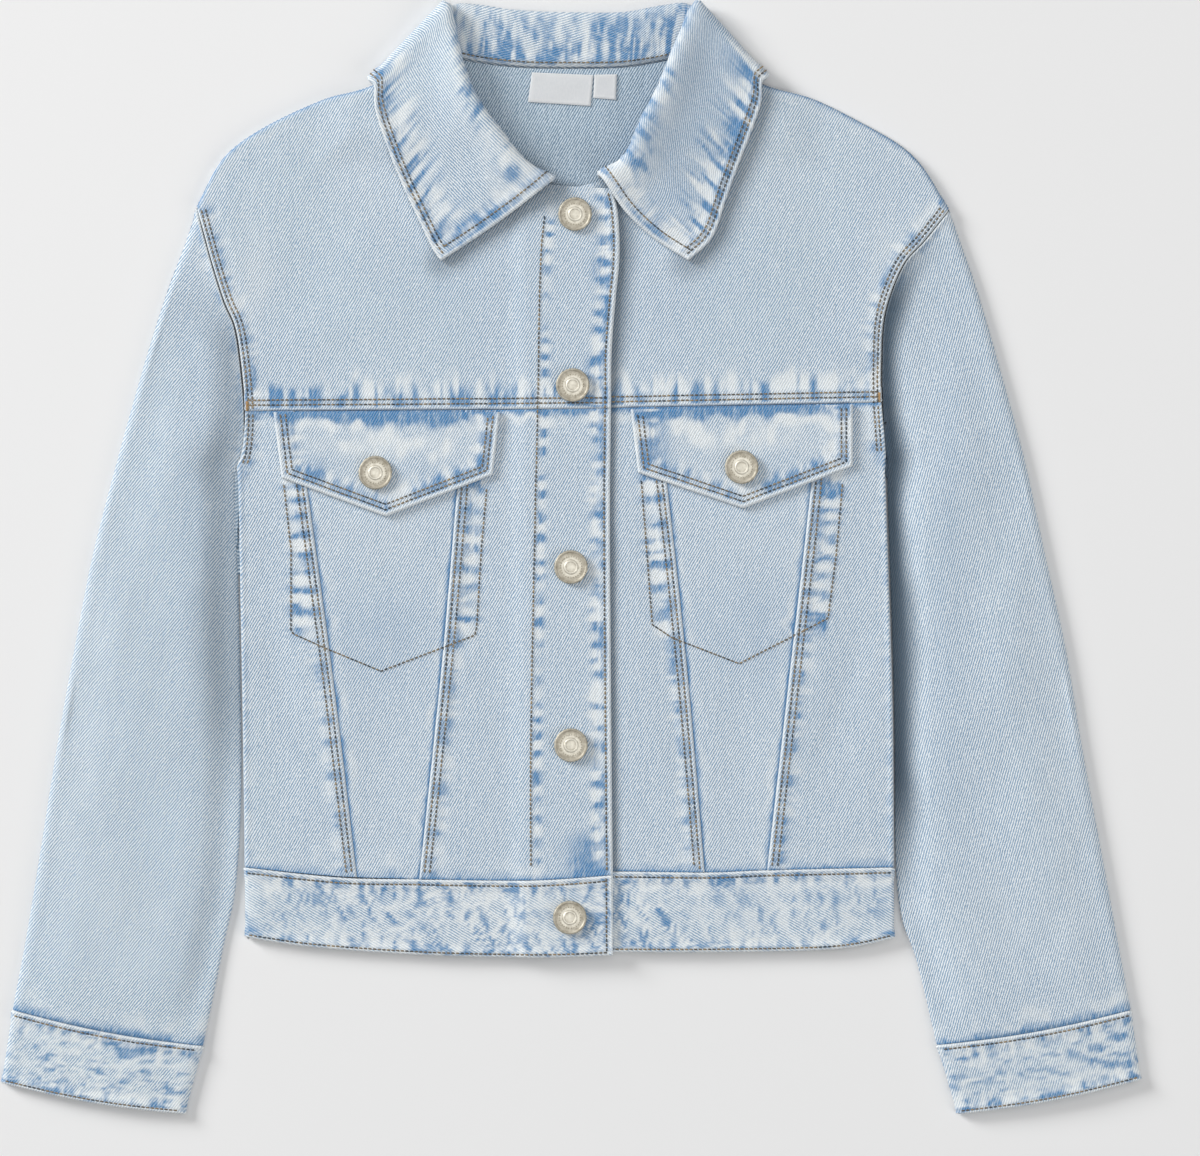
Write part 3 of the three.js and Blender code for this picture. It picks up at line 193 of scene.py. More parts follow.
# Sewn outline of each pocket bag, from the flap down and up again
POCKET_BAG = {
    "right": [(-149.5, 40.0), (-145.6, 4.8), (-145.6, -37.8), (-144.0, -39.5), (-126.4, -47.3),
              (-98.8, -58.7), (-66.0, -46.2), (-50.0, -40.0), (-49.0, -34.8), (-46.8, 2.7),
              (-43.7, 38.0)],
    "left": [(36.4, 42.0), (39.5, 1.7), (42.2, -34.5), (52.5, -41.3), (87.4, -54.8),
             (116.5, -40.0), (133.6, -31.1), (137.8, 1.6), (141.4, 42.0)],
}
# Blue left beside the front edge, as in faded()
PLACKET_STAINS = [(14, 96, 6, 9, -0.9), (15, 148, 4, 12, -0.7), (16, 62, 4, 16, -0.35),
                  (16, -48, 4, 6, -0.8), (9, -158, 10, 9, -1.6), (8, -148, 9, 5, -0.5)]
# Stitched inner edge of the front facing, by (x, y)
FACING = [(-13.5, 179.5), (-15.6, 157.7), (-16.6, 122.8), (-17.2, 83.3), (-18.7, 20.0), (-20.8, -90.0),
          (-20.8, -162.0)]
# Collar rows: (neck seam x, y, roll x, y, outer edge x, y), and the height of the roll on the front rows
COLLAR_BACK = {
    "right": [(-26.5, 254.9, -26.5, 284.8, -30.0, 227.3), (-49.0, 257.6, -47.3, 286.9, -64.0, 229.5),
              (-60.5, 260.0, -58.0, 288.0, -86.0, 235.0)],
    "left": [(26.5, 254.9, 28.1, 283.8, 33.0, 227.3), (45.0, 257.6, 47.8, 286.7, 64.0, 229.5),
             (55.8, 260.0, 57.5, 288.0, 84.0, 236.0)],
}
COLLAR_MIDDLE = (0.0, 254.4, 1.0, 283.6, 1.0, 226.5)
COLLAR_TURN = {
    "right": (-69.2, 262.2, -65.6, 289.6, -105.4, 248.6),
    "left": (64.0, 262.2, 66.0, 289.6, 102.4, 250.2),
}
COLLAR_FRONT = {
    "right": [(-66.5, 252.0, -60.6, 277.0, -101.9, 234.0, 14.0),
              (-63.5, 239.5, -56.5, 258.0, -95.2, 213.0, 17.0),
              (-56.7, 226.0, -49.5, 240.0, -87.4, 193.5, 17.5),
              (-43.7, 211.5, -38.5, 224.5, -78.5, 174.5, 16.5),
              (-27.5, 201.0, -24.0, 206.5, -71.8, 160.5, 14.0),
              (-10.4, 194.4, -8.5, 196.5, -67.6, 154.4, 12.0)],
    "left": [(62.0, 252.0, 58.6, 277.0, 99.0, 238.0, 14.0),
             (60.0, 240.5, 52.5, 262.0, 94.6, 223.7, 17.0),
             (54.1, 228.0, 44.7, 243.0, 87.0, 204.5, 17.5),
             (43.7, 214.0, 35.9, 226.0, 80.6, 186.5, 16.5),
             (31.0, 202.0, 28.0, 209.0, 73.0, 166.0, 14.0),
             (14.6, 195.8, 14.0, 199.0, 61.0, 154.6, 12.0)],
}
# How far each front end of the collar is bowed
COLLAR_END_BOW = {"right": 1.0, "left": 4.5}
LABELS = {
    "label_main": [(-20.3, 252.6), (11.6, 251.2), (10.2, 235.1), (-22.4, 237.2)],
    "label_size": [(12.2, 251.4), (23.9, 251.6), (23.4, 238.3), (11.6, 239.3)],
}
# Folds as (x0, y0, x1, y1, width, depth): a depth above 0 is a soft trough, below 0 a ridge
FOLDS = [
    (-197, 140, -194, 70, 14, 1.2), (-232, 30, -205, -70, 16, 0.9), (-256, -70, -215, -150, 15, 1.0),
    (-200, -90, -225, -215, 16, 0.9), (186, 130, 182, 40, 13, 1.3), (228, 50, 203, -60, 16, 0.9),
    (252, -60, 214, -140, 15, 1.0), (200, -100, 236, -210, 16, 0.9), (-120, 215, -150, 120, 18, 0.7),
    (118, 214, 140, 120, 16, 0.8), (-158, 30, -150, -130, 11, 0.7), (150, 25, 138, -130, 11, 0.7),
    (-98, -40, -94, -150, 13, 0.6), (92, -40, 86, -150, 13, 0.6),
]
# Smaller folds that only the cloth here has, in the same columns
SOFT_FOLDS = [
    (-212, 120, -222, 20, 7, 0.5), (-240, 20, -236, -60, 8, -0.45), (-262, -60, -246, -160, 8, 0.5),
    (-214, -30, -236, -120, 7, -0.4), (-268, -150, -236, -220, 9, 0.45), (206, 120, 222, 10, 8, 0.5),
    (236, 20, 226, -70, 8, -0.45), (262, -50, 246, -150, 8, 0.45), (216, -20, 240, -130, 7, -0.4),
    (270, -140, 244, -215, 8, 0.45), (-182, 190, -170, 130, 7, -0.4), (182, 186, 168, 128, 8, -0.45),
    (-150, 110, -90, 130, 9, -0.3), (96, 120, 150, 108, 9, -0.3), (-160, -40, -128, -120, 7, 0.45),
    (156, -30, 126, -118, 7, 0.45), (-52, 20, -34, -120, 8, 0.35), (44, 10, 60, -130, 8, 0.35),
    (-108, 8, -92, -90, 9, -0.3), (86, 8, 96, -90, 9, -0.3),
]
BACK_FOLDS = [
    (-120, 190, -146, 60, 15, 0.8), (118, 190, 142, 60, 15, 0.8), (-60, 80, -84, -120, 14, 0.7),
    (58, 70, 80, -130, 14, 0.7), (-10, 60, 6, -90, 12, 0.5), (-150, 20, -128, -120, 10, 0.7),
    (148, 20, 130, -120, 10, 0.7), (-205, 120, -214, 20, 10, 0.8), (208, 120, 216, 20, 10, 0.8),
    (-236, 0, -216, -110, 11, 0.7), (238, 0, 216, -110, 11, 0.7), (-262, -90, -228, -190, 11, 0.7),
    (262, -90, 230, -190, 11, 0.7),
]
# Turn of the warp from +Y on the parts that are cut otherwise than the body, in degrees
GRAIN = {"sleeve_right": -10.0, "sleeve_left": 14.0, "collar": -77.0, "waistband": 90.0}


def clamp(value, low=0.0, high=1.0):
    return np.minimum(np.maximum(value, low), high)


def smooth(value, low, high):
    share = clamp((np.asarray(value, float) - low) / (high - low))
    return share * share * (3 - 2 * share)


def bump(value, centre, width):
    return np.exp(-(((value - centre) / width) ** 2))


def lerp(a, b, t):
    return a + (b - a) * t


def noise(x, y, seed):
    """Smooth noise from -1 to 1, with one bump to a unit of x and y."""
    x, y = np.broadcast_arrays(np.asarray(x, float), np.asarray(y, float))
    i, j = np.floor(x).astype(np.int64), np.floor(y).astype(np.int64)
    u, v = smooth(x - i, 0, 1), smooth(y - j, 0, 1)

    def corner(a, b):
        n = (a * 374761393 + b * 668265263 + seed * 974634777) & 0xFFFFFFFF
        n = ((n ^ (n >> 13)) * 1274126177) & 0xFFFFFFFF
        return ((n ^ (n >> 16)) & 0xFFFF) / 32767.5 - 1

    low = lerp(corner(i, j), corner(i + 1, j), u)
    high = lerp(corner(i, j + 1), corner(i + 1, j + 1), u)
    return lerp(low, high, v)


def rounded(rows):
    """Points of a smooth line through table rows."""
    p = np.array(rows, float)
    q = np.vstack([p[:1], p, p[-1:]])
    t = np.linspace(0, 1, CURVE_STEPS, endpoint=False)[:, None]
    parts = []
    for a, b, c, d in zip(q[:-3], q[1:-2], q[2:-1], q[3:]):
        leave, arrive = (c - a) / 2, (d - b) / 2
        cubic, square = 2 * b - 2 * c + leave + arrive, 3 * c - 3 * b - 2 * leave - arrive
        parts.append(cubic * t**3 + square * t**2 + leave * t + b)
    return np.vstack(parts + [p[-1:]])


class Line:
    """A line in plan, walked by its length from 0 to 1."""

    def __init__(self, points):
        self.points = np.array(points, float)
        self.lengths = np.append(0, np.cumsum(np.linalg.norm(np.diff(self.points, axis=0), axis=1)))
        self.length = self.lengths[-1]

    def __call__(self, t):
        along = clamp(np.atleast_1d(np.asarray(t, float))) * self.length
        return np.stack([np.interp(along, self.lengths, self.points[:, k]) for k in (0, 1)], -1)

    def share_at(self, y):
        return float(np.interp(-y, -self.points[:, 1], self.lengths / self.length))

    def part(self, start, end):
        return Line(self(np.linspace(start, end, 160)))

    def moved(self, dx, dy):
        return Line(self.points + (dx, dy))

    def backwards(self):
        return lambda t: self(1 - np.asarray(t))


def curve(rows):
    return Line(rounded(rows))


def straight(a, b):
    return Line([a, b])


def joined(*lines):
    return Line(np.vstack([lines[0].points] + [line.points[1:] for line in lines[1:]]))


def in_turn(first, second, split):
    """Two lines walked one after the other, the first of them up to a share."""
    even = np.linspace(0, 1, 200)
    whole = np.vstack([first(even), second(even)])

    def at(t):
        t = np.atleast_1d(np.asarray(t, float))
        along = np.where(t <= split, t / split, 1 + (t - split) / (1 - split)) * 199
        along = np.where(t <= split, along, along + 1)
        return np.stack([np.interp(along, np.arange(400), whole[:, k]) for k in (0, 1)], -1)
    return at


class Near:
    """For places in plan: distance to a line, direction away from it, and how far along it."""

    def __init__(self, points, places):
        a, d = points[:-1], np.diff(points, axis=0)
        square = np.maximum((d**2).sum(1), 1e-12)
        lengths = np.append(0, np.cumsum(np.sqrt(square)))
        count = len(places)
        self.d, self.s, self.y = np.zeros(count), np.zeros(count), np.zeros(count)
        self.g = np.zeros((count, 2))
        for start in range(0, count, 6000):
            p = places[start:start + 6000]
            t = clamp(((p[:, None] - a) * d).sum(2) / square)
            foot = a + t[..., None] * d
            gap = p[:, None] - foot
            k = (gap**2).sum(2).argmin(1)
            row = np.arange(len(p))
            gap, share = gap[row, k], t[row, k]
            far = np.linalg.norm(gap, axis=1)
            part = slice(start, start + len(p))
            self.d[part], self.y[part] = far, foot[row, k][:, 1]
            self.s[part] = lengths[k] + share * np.sqrt(square[k])
            side = np.stack([-d[k][:, 1], d[k][:, 0]], 1) / np.sqrt(square[k])[:, None]
            self.g[part] = np.where((far > 0.05)[:, None], gap / np.maximum(far, 1e-9)[:, None], side)
        self.on = self.d <= 0.05


def make_edges(side):
    shoulder, armhole, flank = curve(SHOULDER[side]), curve(ARMHOLE[side]), curve(FLANK[side])
    inner, outer, cuff = curve(SLEEVE_INNER[side]), curve(SLEEVE_OUTER[side]), CUFF[side]
    even = np.linspace(0, 1, 41)
    return {
        "shoulder": shoulder, "armhole": armhole, "flank": flank, "inner": inner, "outer": outer,
        "shoulder_points": shoulder(even),
        "body_points": np.vstack([armhole(even), flank(even)[1:]]),
        "sleeve_inner_points": np.vstack([armhole(even)[:-1], inner(even), [cuff["bottom_inner"]]]),
        "sleeve_outer_points": np.vstack([outer(even), [cuff["bottom_outer"]]]),
        "underarm_y": ARMHOLE[side][-1][1],
        "inward": 1 if side == "right" else -1,
    }


EDGES = {side: make_edges(side) for side in SIDES}


def neck_lift(p):
    below = (225 - p[:, 1]) / 24
    beside = (np.abs(p[:, 0] + 1.5) - 108) / 26
    return NECK_LIFT * (1 - smooth(np.maximum(below, beside), 0, 1))


def fold_height(p, folds=FOLDS):
    height = np.zeros(len(p))
    for x0, y0, x1, y1, width, depth in folds:
        dx, dy = x1 - x0, y1 - y0
        share = ((p[:, 0] - x0) * dx + (p[:, 1] - y0) * dy) / (dx * dx + dy * dy)
        across = ((p[:, 0] - x0) * dy - (p[:, 1] - y0) * dx) / math.hypot(dx, dy)
        along = smooth(share, -0.15, 0.2) * (1 - smooth(share, 0.75, 1.15))
        height -= depth * along * bump(across, 0, width)
    return height


def armhole_climb(side, y):
    return 1.02 * smooth(y, EDGES[side]["underarm_y"] - 2, ARMHOLE_LEVEL_Y)


def rolled(away, share, slope):
    """A rolled edge: share 0 is the folded side at half height, share 1 is level."""
    angle = np.arccos(1 - clamp(share))
    out, up = ROLL * np.cos(angle), slope * np.sin(angle)
    length = np.maximum(np.hypot(out, up), 1e-9)
    return np.sin(angle), -away.g * (out / length)[:, None]


def settle(p, rolls, face, height_of):
    """Points and outward directions of the cloth's outer side at places in plan."""
    rises = np.stack([rise for rise, _ in rolls])
    pick = rises.argmin(0)
    rise = rises[pick, np.arange(len(p))]
    tilt = np.stack([t for _, t in rolls])[pick, np.arange(len(p))]
    sign = 1 if face == "front" else -1
    level = smooth(rise, 0.9, 1)
    step = 0.5
    slopes = []
    for move in ((step, 0), (0, step)):
        slope = (neck_lift(p + move) - neck_lift(p - move)) / (2 * step)
        slopes.append(slope + level * (height_of(p + move) - height_of(p - move)) / (2 * step))
    z = ROLL + neck_lift(p) + sign * ROLL * rise + level * height_of(p)
    up = np.sqrt(np.maximum(0, 1 - (tilt**2).sum(1)))
    lean = sign * up
    normal = np.stack([tilt[:, 0] - slopes[0] * lean, tilt[:, 1] - slopes[1] * lean, lean], 1)
    normal /= np.maximum(np.linalg.norm(normal, axis=1), 1e-9)[:, None]
    return np.column_stack([p, z]), normal


def unevenness(p, seed, amount):
    """The low, soft unevenness of cloth that has been worn and laid down."""
    x, y = p[:, 0], p[:, 1]
    wide = noise(x / 34, y / 48, seed) * 0.65 + noise(x / 15, y / 21, seed + 1) * 0.35
    return amount * wide


def cloth_height(face, seed, raised=0.0):
    def height(p):
        if face == "back":
            return -fold_height(p, BACK_FOLDS) + 0.3 * np.abs(unevenness(p, seed, 1.0))
        soft = fold_height(p) + fold_height(p, SOFT_FOLDS) + unevenness(p, seed, 0.32)
        return soft + raised * (1 - smooth(-p[:, 0], *LAP_FADE))
    return height


def body_surface(side, face, raised=0.0):
    edges = EDGES[side]
    height = cloth_height(face, 11 if side == "right" else 17, raised)

    def at(p):
        flank, shoulder = Near(edges["body_points"], p), Near(edges["shoulder_points"], p)
        flank.g[flank.on] = (edges["inward"], 0)
        flip = shoulder.on & (shoulder.g[:, 1] > 0)
        shoulder.g[flip] *= -1
        width = LEFT_FLANK_ROLL if face == "front" and side == "left" else ROLL
        share = flank.d / width + armhole_climb(side, flank.y)
        rolls = [rolled(flank, share, width), rolled(shoulder, shoulder.d / ROLL, ROLL)]
        return settle(p, rolls, face, height)
    return at


def whole_back(p):
    """Outer side of the back, whose two halves meet in the middle."""
    right, left = body_surface("right", "back")(p), body_surface("left", "back")(p)
    is_right = (p[:, 0] < 0)[:, None]
    return np.where(is_right, right[0], left[0]), np.where(is_right, right[1], left[1])


def sleeve_surface(side, face):
    edges = EDGES[side]
    inner_slope = SLEEVE_INNER_SLOPE if face == "front" else ROLL
    outer_slope = SLEEVE_OUTER_SLOPE if face == "front" else ROLL
    cloth = cloth_height(face, 23 if side == "right" else 29)

    def height(p):
        if face == "back":
            return cloth(p)
        sides = [Near(edges[key], p).d for key in ("sleeve_inner_points", "sleeve_outer_points")]
        return cloth(p) + SLEEVE_SWELL * smooth(np.minimum(*sides), 6, 34) * (1 - smooth(p[:, 1], 20, 150))

    def at(p):
        inner, outer = Near(edges["sleeve_inner_points"], p), Near(edges["sleeve_outer_points"], p)
        inner.g[inner.on] = (-edges["inward"], 0)
        outer.g[outer.on] = (edges["inward"], 0)
        inner_share = inner.d / inner_slope + armhole_climb(side, inner.y)
        rolls = [rolled(inner, inner_share, inner_slope),
                 rolled(outer, outer.d / outer_slope, outer_slope)]
        return settle(p, rolls, face, height)
    return at


def plan_grid(bottom, top, left, right, us, vs):
    """Places in plan from four boundary lines: bottom and top run together, left and right rise."""
    u, v = np.asarray(us)[:, None, None], np.asarray(vs)[None, :, None]
    b, t, l, r = bottom(us)[:, None], top(us)[:, None], left(vs)[None], right(vs)[None]
    corners = ((1 - u) * (1 - v) * bottom(0) + u * (1 - v) * bottom(1)
               + (1 - u) * v * top(0) + u * v * top(1))
    return (1 - v) * b + v * t + (1 - u) * l + u * r - corners


def graded(width, step):
    """Shares of a width, closer together at both sewn edges."""
    near = np.array(EDGE_STEPS) / width
    count = max(2, int(round((width - 2 * EDGE_STEPS[-1]) / step)) + 1)
    middle = np.linspace(near[-1], 1 - near[-1], count)
    return np.concatenate([near[:-1], middle, 1 - near[:-1][::-1]])


class Edge:
    """A sewn or folded edge: how the cloth meets there, its rows of stitches and its wear.

    A "lap" lies over its neighbour, a "fold" ends there and an "under" goes beneath.
    """

    def __init__(self, line, role, rows, strength, reach, lip, seed):
        self.points = line.points
        self.role, self.rows, self.strength = role, rows, strength
        self.reach, self.lip, self.seed = reach, lip, seed


def edge_relief(edge, d, s):
    """Height, whitening and blue of the cloth at distances from an edge and lengths along it."""
    seed, k, reach = edge.seed, edge.strength, edge.reach
    pucker = 0.7 * noise(s / 3.1, 0.5, seed) + 0.3 * noise(s / 1.6, 7.5, seed + 3)
    streak = 0.65 * noise(s / 3.6, d / 24, seed + 5) + 0.5 * noise(s / 1.9, d / 12, seed + 7)
    patch = noise(s / 7.5, d / 6, seed + 9)
    if edge.role == "under":
        far = d / (reach * (0.8 + 0.5 * noise(s / 5.5, 1.5, seed)))
        height = -0.3 * (1 - smooth(d, 0, 0.9)) + 0.17 * k * pucker * np.exp(-d / 5)
        blue = 0.8 * bump(d, 0, 0.8) + k * (1 - smooth(far, 0.3, 1.3)) * (1.0 + 0.9 * streak)
        pale = 0.3 + 0.8 * patch + 0.5 * streak
        return height, k * smooth(far, 0.8, 1.4) * (1 - smooth(far, 1.8, 3.4)) * pale, blue
    # The doubled cloth along the edge, with a dip under each row of stitches
    band = max(edge.rows, default=0.0) + 1.3
    double = 0.5 * smooth(d, 0, 0.9) * (1 - smooth(d, band, band + 2.2))
    dips = sum(0.3 * bump(d, row, 0.5) for row in edge.rows)
    height = (double + 0.25 * bump(d, 0.9, 0.6) - dips - 0.45 * (1 - smooth(d, 0, 0.8))
              + 0.2 * k * pucker * bump(d, 0, band + 4))
    inside = k * smooth(d, edge.lip, edge.lip + 0.8) * (1 - smooth(d, band, band + 1))
    wear = 0.95 * (1 - smooth(d, 0.45 * edge.lip, 1.25 * edge.lip)) * (0.85 + 0.25 * patch)
    wear = wear + 0.5 * inside * clamp(1.7 * streak - 0.1)
    blue = 0.85 * inside * clamp(0.5 - 1.7 * streak)
    # Teeth of blue and white that run on past the stitches
    past = d - band
    far = past / (reach * (1 + 0.55 * noise(s / 4.4, 3.5, seed + 11)))
    blue_teeth = smooth(past, -0.6, 0.6) * (1 - smooth(far, 0.3, 1.3)) * clamp(0.1 - 2.4 * streak)
    white_teeth = smooth(past, -0.4, 1.2) * (1 - smooth(far, 0.9, 2.2))
    white_teeth = white_teeth * clamp(0.1 + 2.2 * streak + 0.5 * patch)
    return height, wear + k * white_teeth, blue + k * blue_teeth


def relief(p, edges, washes=()):
    """Height, whitening and blue of a piece, from its edges and then its washes."""
    height, wear, blue = np.zeros(len(p)), np.zeros(len(p)), np.zeros(len(p))
    for edge in edges:
        near = Near(edge.points, p)
        h, w, b = edge_relief(edge, near.d, near.s)
        height += h
        wear, blue = np.maximum(wear, w), np.maximum(blue, b)
    wear, blue = clamp(wear), clamp(blue)
    for wash in washes:
        whiter, bluer = wash(p)
        wear, blue = wear + whiter, blue + bluer
    return height, wear, blue


def spots(line, offset, width, period, strength, seed, lowest=-400.0):
    """A row of blue marks with pale ones between, beside a line. A negative offset is to its left."""
    def wash(p):
        near = Near(line.points, p)
        across = near.d * np.sign(near.g[:, 0]) - offset
        beat = np.sin(2 * math.pi * (near.s / period + 0.6 * noise(near.s / 15, 2.5, seed)))
        beat = beat + 0.9 * noise(near.s / 2.6, across / 2.2, seed + 2)
        uneven = 0.75 + 0.9 * noise(near.s / 11, 0.5, seed + 4)
        mask = strength * bump(across, 0, width) * smooth(p[:, 1], lowest, lowest + 14)
        mask = mask * clamp(uneven, 0.1, 1.3)
        return mask * clamp(0.1 - 1.6 * beat), mask * clamp(2.2 * beat - 0.4)
    return wash


def roping(strength, wide, tall, lean, seed):
    """Twisted blue and white lines, as on a hem or cuff that was washed after it was sewn."""
    def wash(p):
        x, y = p[:, 0] + lean * p[:, 1], p[:, 1]
        bent = x + 3.2 * noise(x / 9, y / 7, seed)
        main = noise(bent / wide, y / tall, seed + 1)
        side = noise(bent / (0.6 * wide), y / (0.7 * tall), seed + 2)
        veins = clamp(np.maximum(1.15 - 4.2 * np.abs(main), 0.8 - 4.2 * np.abs(side)))
        between = clamp(1.5 * side + 0.4 * np.abs(main) - 0.25) * (1 - veins)
        amount = strength * (0.85 + 0.35 * noise(x / 26, y / 30, seed + 3))
        return amount * veins, amount * between
    return wash


def faded(places):
    """Soft worn or darker areas, as (x, y, width, height, amount): above 0 is paler, below 0 bluer."""
    def wash(p):
        wear, blue = np.zeros(len(p)), np.zeros(len(p))
        for x, y, w, h, amount in places:
            area = abs(amount) * np.exp(-(((p[:, 0] - x) / w) ** 2) - ((p[:, 1] - y) / h) ** 2)
            area = area * (0.75 + 0.5 * noise(p[:, 0] / 3.5, p[:, 1] / 9, 71))
            if amount > 0:
                wear = wear + area
            else:
                blue = blue + area
        return wear, blue
    return wash


def turned(p, degrees):
    a = math.radians(degrees)
    return np.stack([p[..., 0] * math.cos(a) + p[..., 1] * math.sin(a),
                     p[..., 1] * math.cos(a) - p[..., 0] * math.sin(a)], -1)


def deselect():
    if bpy.context.mode != "OBJECT":
        bpy.ops.object.mode_set(mode="OBJECT")
    bpy.ops.object.select_all(action="DESELECT")


def new_object(name, mesh, materials):
    obj = bpy.data.objects.new(name, mesh)
    bpy.context.scene.collection.objects.link(obj)
    for material in materials:
        mesh.materials.append(material)
    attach(obj, "root")
    return obj


def mesh_of(name, vertices, faces):
    mesh = bpy.data.meshes.new(name)
    mesh.vertices.add(len(vertices))
    mesh.vertices.foreach_set("co", np.asarray(vertices, np.float32).ravel() * MM)
    faces = np.asarray(faces, np.int32)
    sides = faces.shape[1]
    mesh.loops.add(faces.size)
    mesh.loops.foreach_set("vertex_index", faces.ravel())
    mesh.polygons.add(len(faces))
    mesh.polygons.foreach_set("loop_start", np.arange(len(faces), dtype=np.int32) * sides)
    mesh.polygons.foreach_set("use_smooth", np.ones(len(faces), bool))
    mesh.update(calc_edges=True)
    return mesh


def signed_volume(v, f):
    a, b, c = v[f[:, 0]], v[f[:, 1]], v[f[:, 2]]
    total = np.einsum("ij,ij->", a, np.cross(b, c))
    if f.shape[1] == 4:
        d = v[f[:, 3]]
        total += np.einsum("ij,ij->", a, np.cross(c, d))
    return total


def wall(name, outer, inner, wear, blue, uv, materials=("denim", "reverse"), ring=False, dusk=None):
    """A closed shell between an outer and an inner grid, with a material for its face and its reverse."""
    ni, nj = outer.shape[:2]
    vertices = np.concatenate([outer.reshape(-1, 3), inner.reshape(-1, 3)])
    index = np.arange(ni * nj).reshape(ni, nj)
    if ring:
        index = np.vstack([index, index[:1]])
    low, high = index[:-1], index[1:]
    face = np.stack([low[:, :-1], high[:, :-1], high[:, 1:], low[:, 1:]], -1).reshape(-1, 4)
    back = face[:, ::-1] + ni * nj

    def rim(a, b, flip):
        under_a, under_b = a + ni * nj, b + ni * nj
        return np.stack([a, under_a, under_b, b] if flip else [a, b, under_b, under_a], -1)

    rims = [rim(low[:, 0], high[:, 0], True), rim(low[:, -1], high[:, -1], False)]
    if not ring:
        rims += [rim(index[0, :-1], index[0, 1:], False), rim(index[-1, :-1], index[-1, 1:], True)]
    faces = np.concatenate([face, back] + rims)
    if signed_volume(vertices, faces) < 0:
        faces = faces[:, ::-1]
    mesh = mesh_of(name, vertices, faces)
    slots = np.zeros(len(faces), np.int32)
    slots[len(face):2 * len(face)] = 1
    mesh.polygons.foreach_set("material_index", slots)
    # Painted shade is the third attribute, zero where a piece has none
    dusk = np.zeros(ni * nj) if dusk is None else dusk
    for key, values in (("wear", clamp(wear)), ("blue", clamp(blue)), ("dusk", dusk)):
        layer = mesh.attributes.new(key, "FLOAT", "POINT")
        layer.data.foreach_set("value", np.tile(np.asarray(values, np.float32).ravel(), 2))
    corners = np.zeros(len(mesh.loops), np.int32)
    mesh.loops.foreach_get("vertex_index", corners)
    plan = np.tile(uv.reshape(-1, 2), (2, 1)) * MM
    mesh.uv_layers.new(name="cloth").data.foreach_set("uv", plan[corners].astype(np.float32).ravel())
    return new_object(name, mesh, [MATERIALS[key] for key in materials])


def ground(outer, downwards=False):
    """The outer side of a piece as a surface that stitches and fibres are set on."""
    ni, nj = outer.shape[:2]
    index = np.arange(ni * nj).reshape(ni, nj)
    quads = np.stack([index[:-1, :-1], index[1:, :-1], index[1:, 1:], index[:-1, 1:]], -1)
    tree = BVHTree.FromPolygons(outer.reshape(-1, 3).tolist(), quads.reshape(-1, 4).tolist())
    sign = -1 if downwards else 1

    def seat(x, y):
        hit, normal, _, _ = tree.ray_cast(Vector((x, y, 60 * sign)), Vector((0, 0, -sign)))
        if hit is None:
            return None
        return np.array(hit), np.array(normal if normal.z * sign > 0 else -normal)
    return seat


def offset_line(points, amount):
    """A line moved sideways by an amount, with its corners kept sharp."""
    d = np.diff(points, axis=0)
    d = d[np.linalg.norm(d, axis=1) > 1e-6] if len(d) > 1 else d
    points = np.vstack([points[:1], points[0] + np.cumsum(d, axis=0)])
    d = d / np.linalg.norm(d, axis=1)[:, None]
    n = np.stack([-d[:, 1], d[:, 0]], 1)
    mean = np.vstack([n[:1], n[:-1] + n[1:], n[-1:]])
    mean /= np.linalg.norm(mean, axis=1)[:, None]
    first = np.vstack([n[:1], n])
    stretch = 1 / np.maximum((mean * first).sum(1), 0.5)
    return points + mean * (stretch * amount)[:, None]


def stitch_places(points, pitch):
    """Middles and directions of the stitches along a line."""
    line = Line(points)
    count = max(1, int((line.length - 2 * STITCH_MARGIN) / pitch))
    at = (STITCH_MARGIN + pitch * (np.arange(count) + 0.5)) / line.length
    reach = 0.8 / line.length
    way = line(at + reach) - line(at - reach)
    way /= np.maximum(np.linalg.norm(way, axis=1), 1e-9)[:, None]
    return line(at), way


def thread_mesh(name, stitches, half, radius, material):
    """Stitches from (middle, direction, normal) rows: each a short thread, thick in its middle."""
    ring = [(0.0, 1.0), (-0.87, 0.5), (-0.87, -0.5), (0.0, -1.0), (0.87, -0.5), (0.87, 0.5)]
    barrel = [(x, u, w) for x in (-0.62, 0.62) for u, w in ring]
    shape = np.array([(-1.0, 0.0, -0.6), *barrel, (1.0, 0.0, -0.6)]) * (half, radius, radius)
    faces = [(0, 1 + (k + 1) % 6, 1 + k) for k in range(6)]
    for k in range(6):
        a, b = 1 + k, 1 + (k + 1) % 6
        faces += [(a, b, b + 6), (a, b + 6, a + 6)]
    faces += [(13, 7 + k, 7 + (k + 1) % 6) for k in range(6)]
    middle, way, up = (np.array([s[k] for s in stitches]) for k in range(3))
    way = way - up * (way * up).sum(1)[:, None]
    way /= np.linalg.norm(way, axis=1)[:, None]
    side = np.cross(up, way)
    v = (middle[:, None] + way[:, None] * shape[None, :, :1] + side[:, None] * shape[None, :, 1:2]
         + up[:, None] * shape[None, :, 2:])
    f = np.array(faces)[None] + (np.arange(len(v)) * len(shape))[:, None, None]
    v, f = v.reshape(-1, 3), f.reshape(-1, 3)
    v[:, 2] = np.maximum(v[:, 2], 0)
    if signed_volume(v, f) < 0:
        f = f[:, ::-1]
    obj = new_object(name, mesh_of(name, v, f), [MATERIALS[material]])
    return obj


def stitching(name, stitches):
    """The stitches of one piece of cloth as a list of its thread, empty where it has none."""
    sizes = bpy.context.scene.jacket_sizes
    if not stitches:
        return []
    half, radius = STITCH_HALF * sizes.stitch / MM, sizes.thread / MM / 2
    return [thread_mesh(f"stitching_{name}", stitches, half, radius, "thread")]


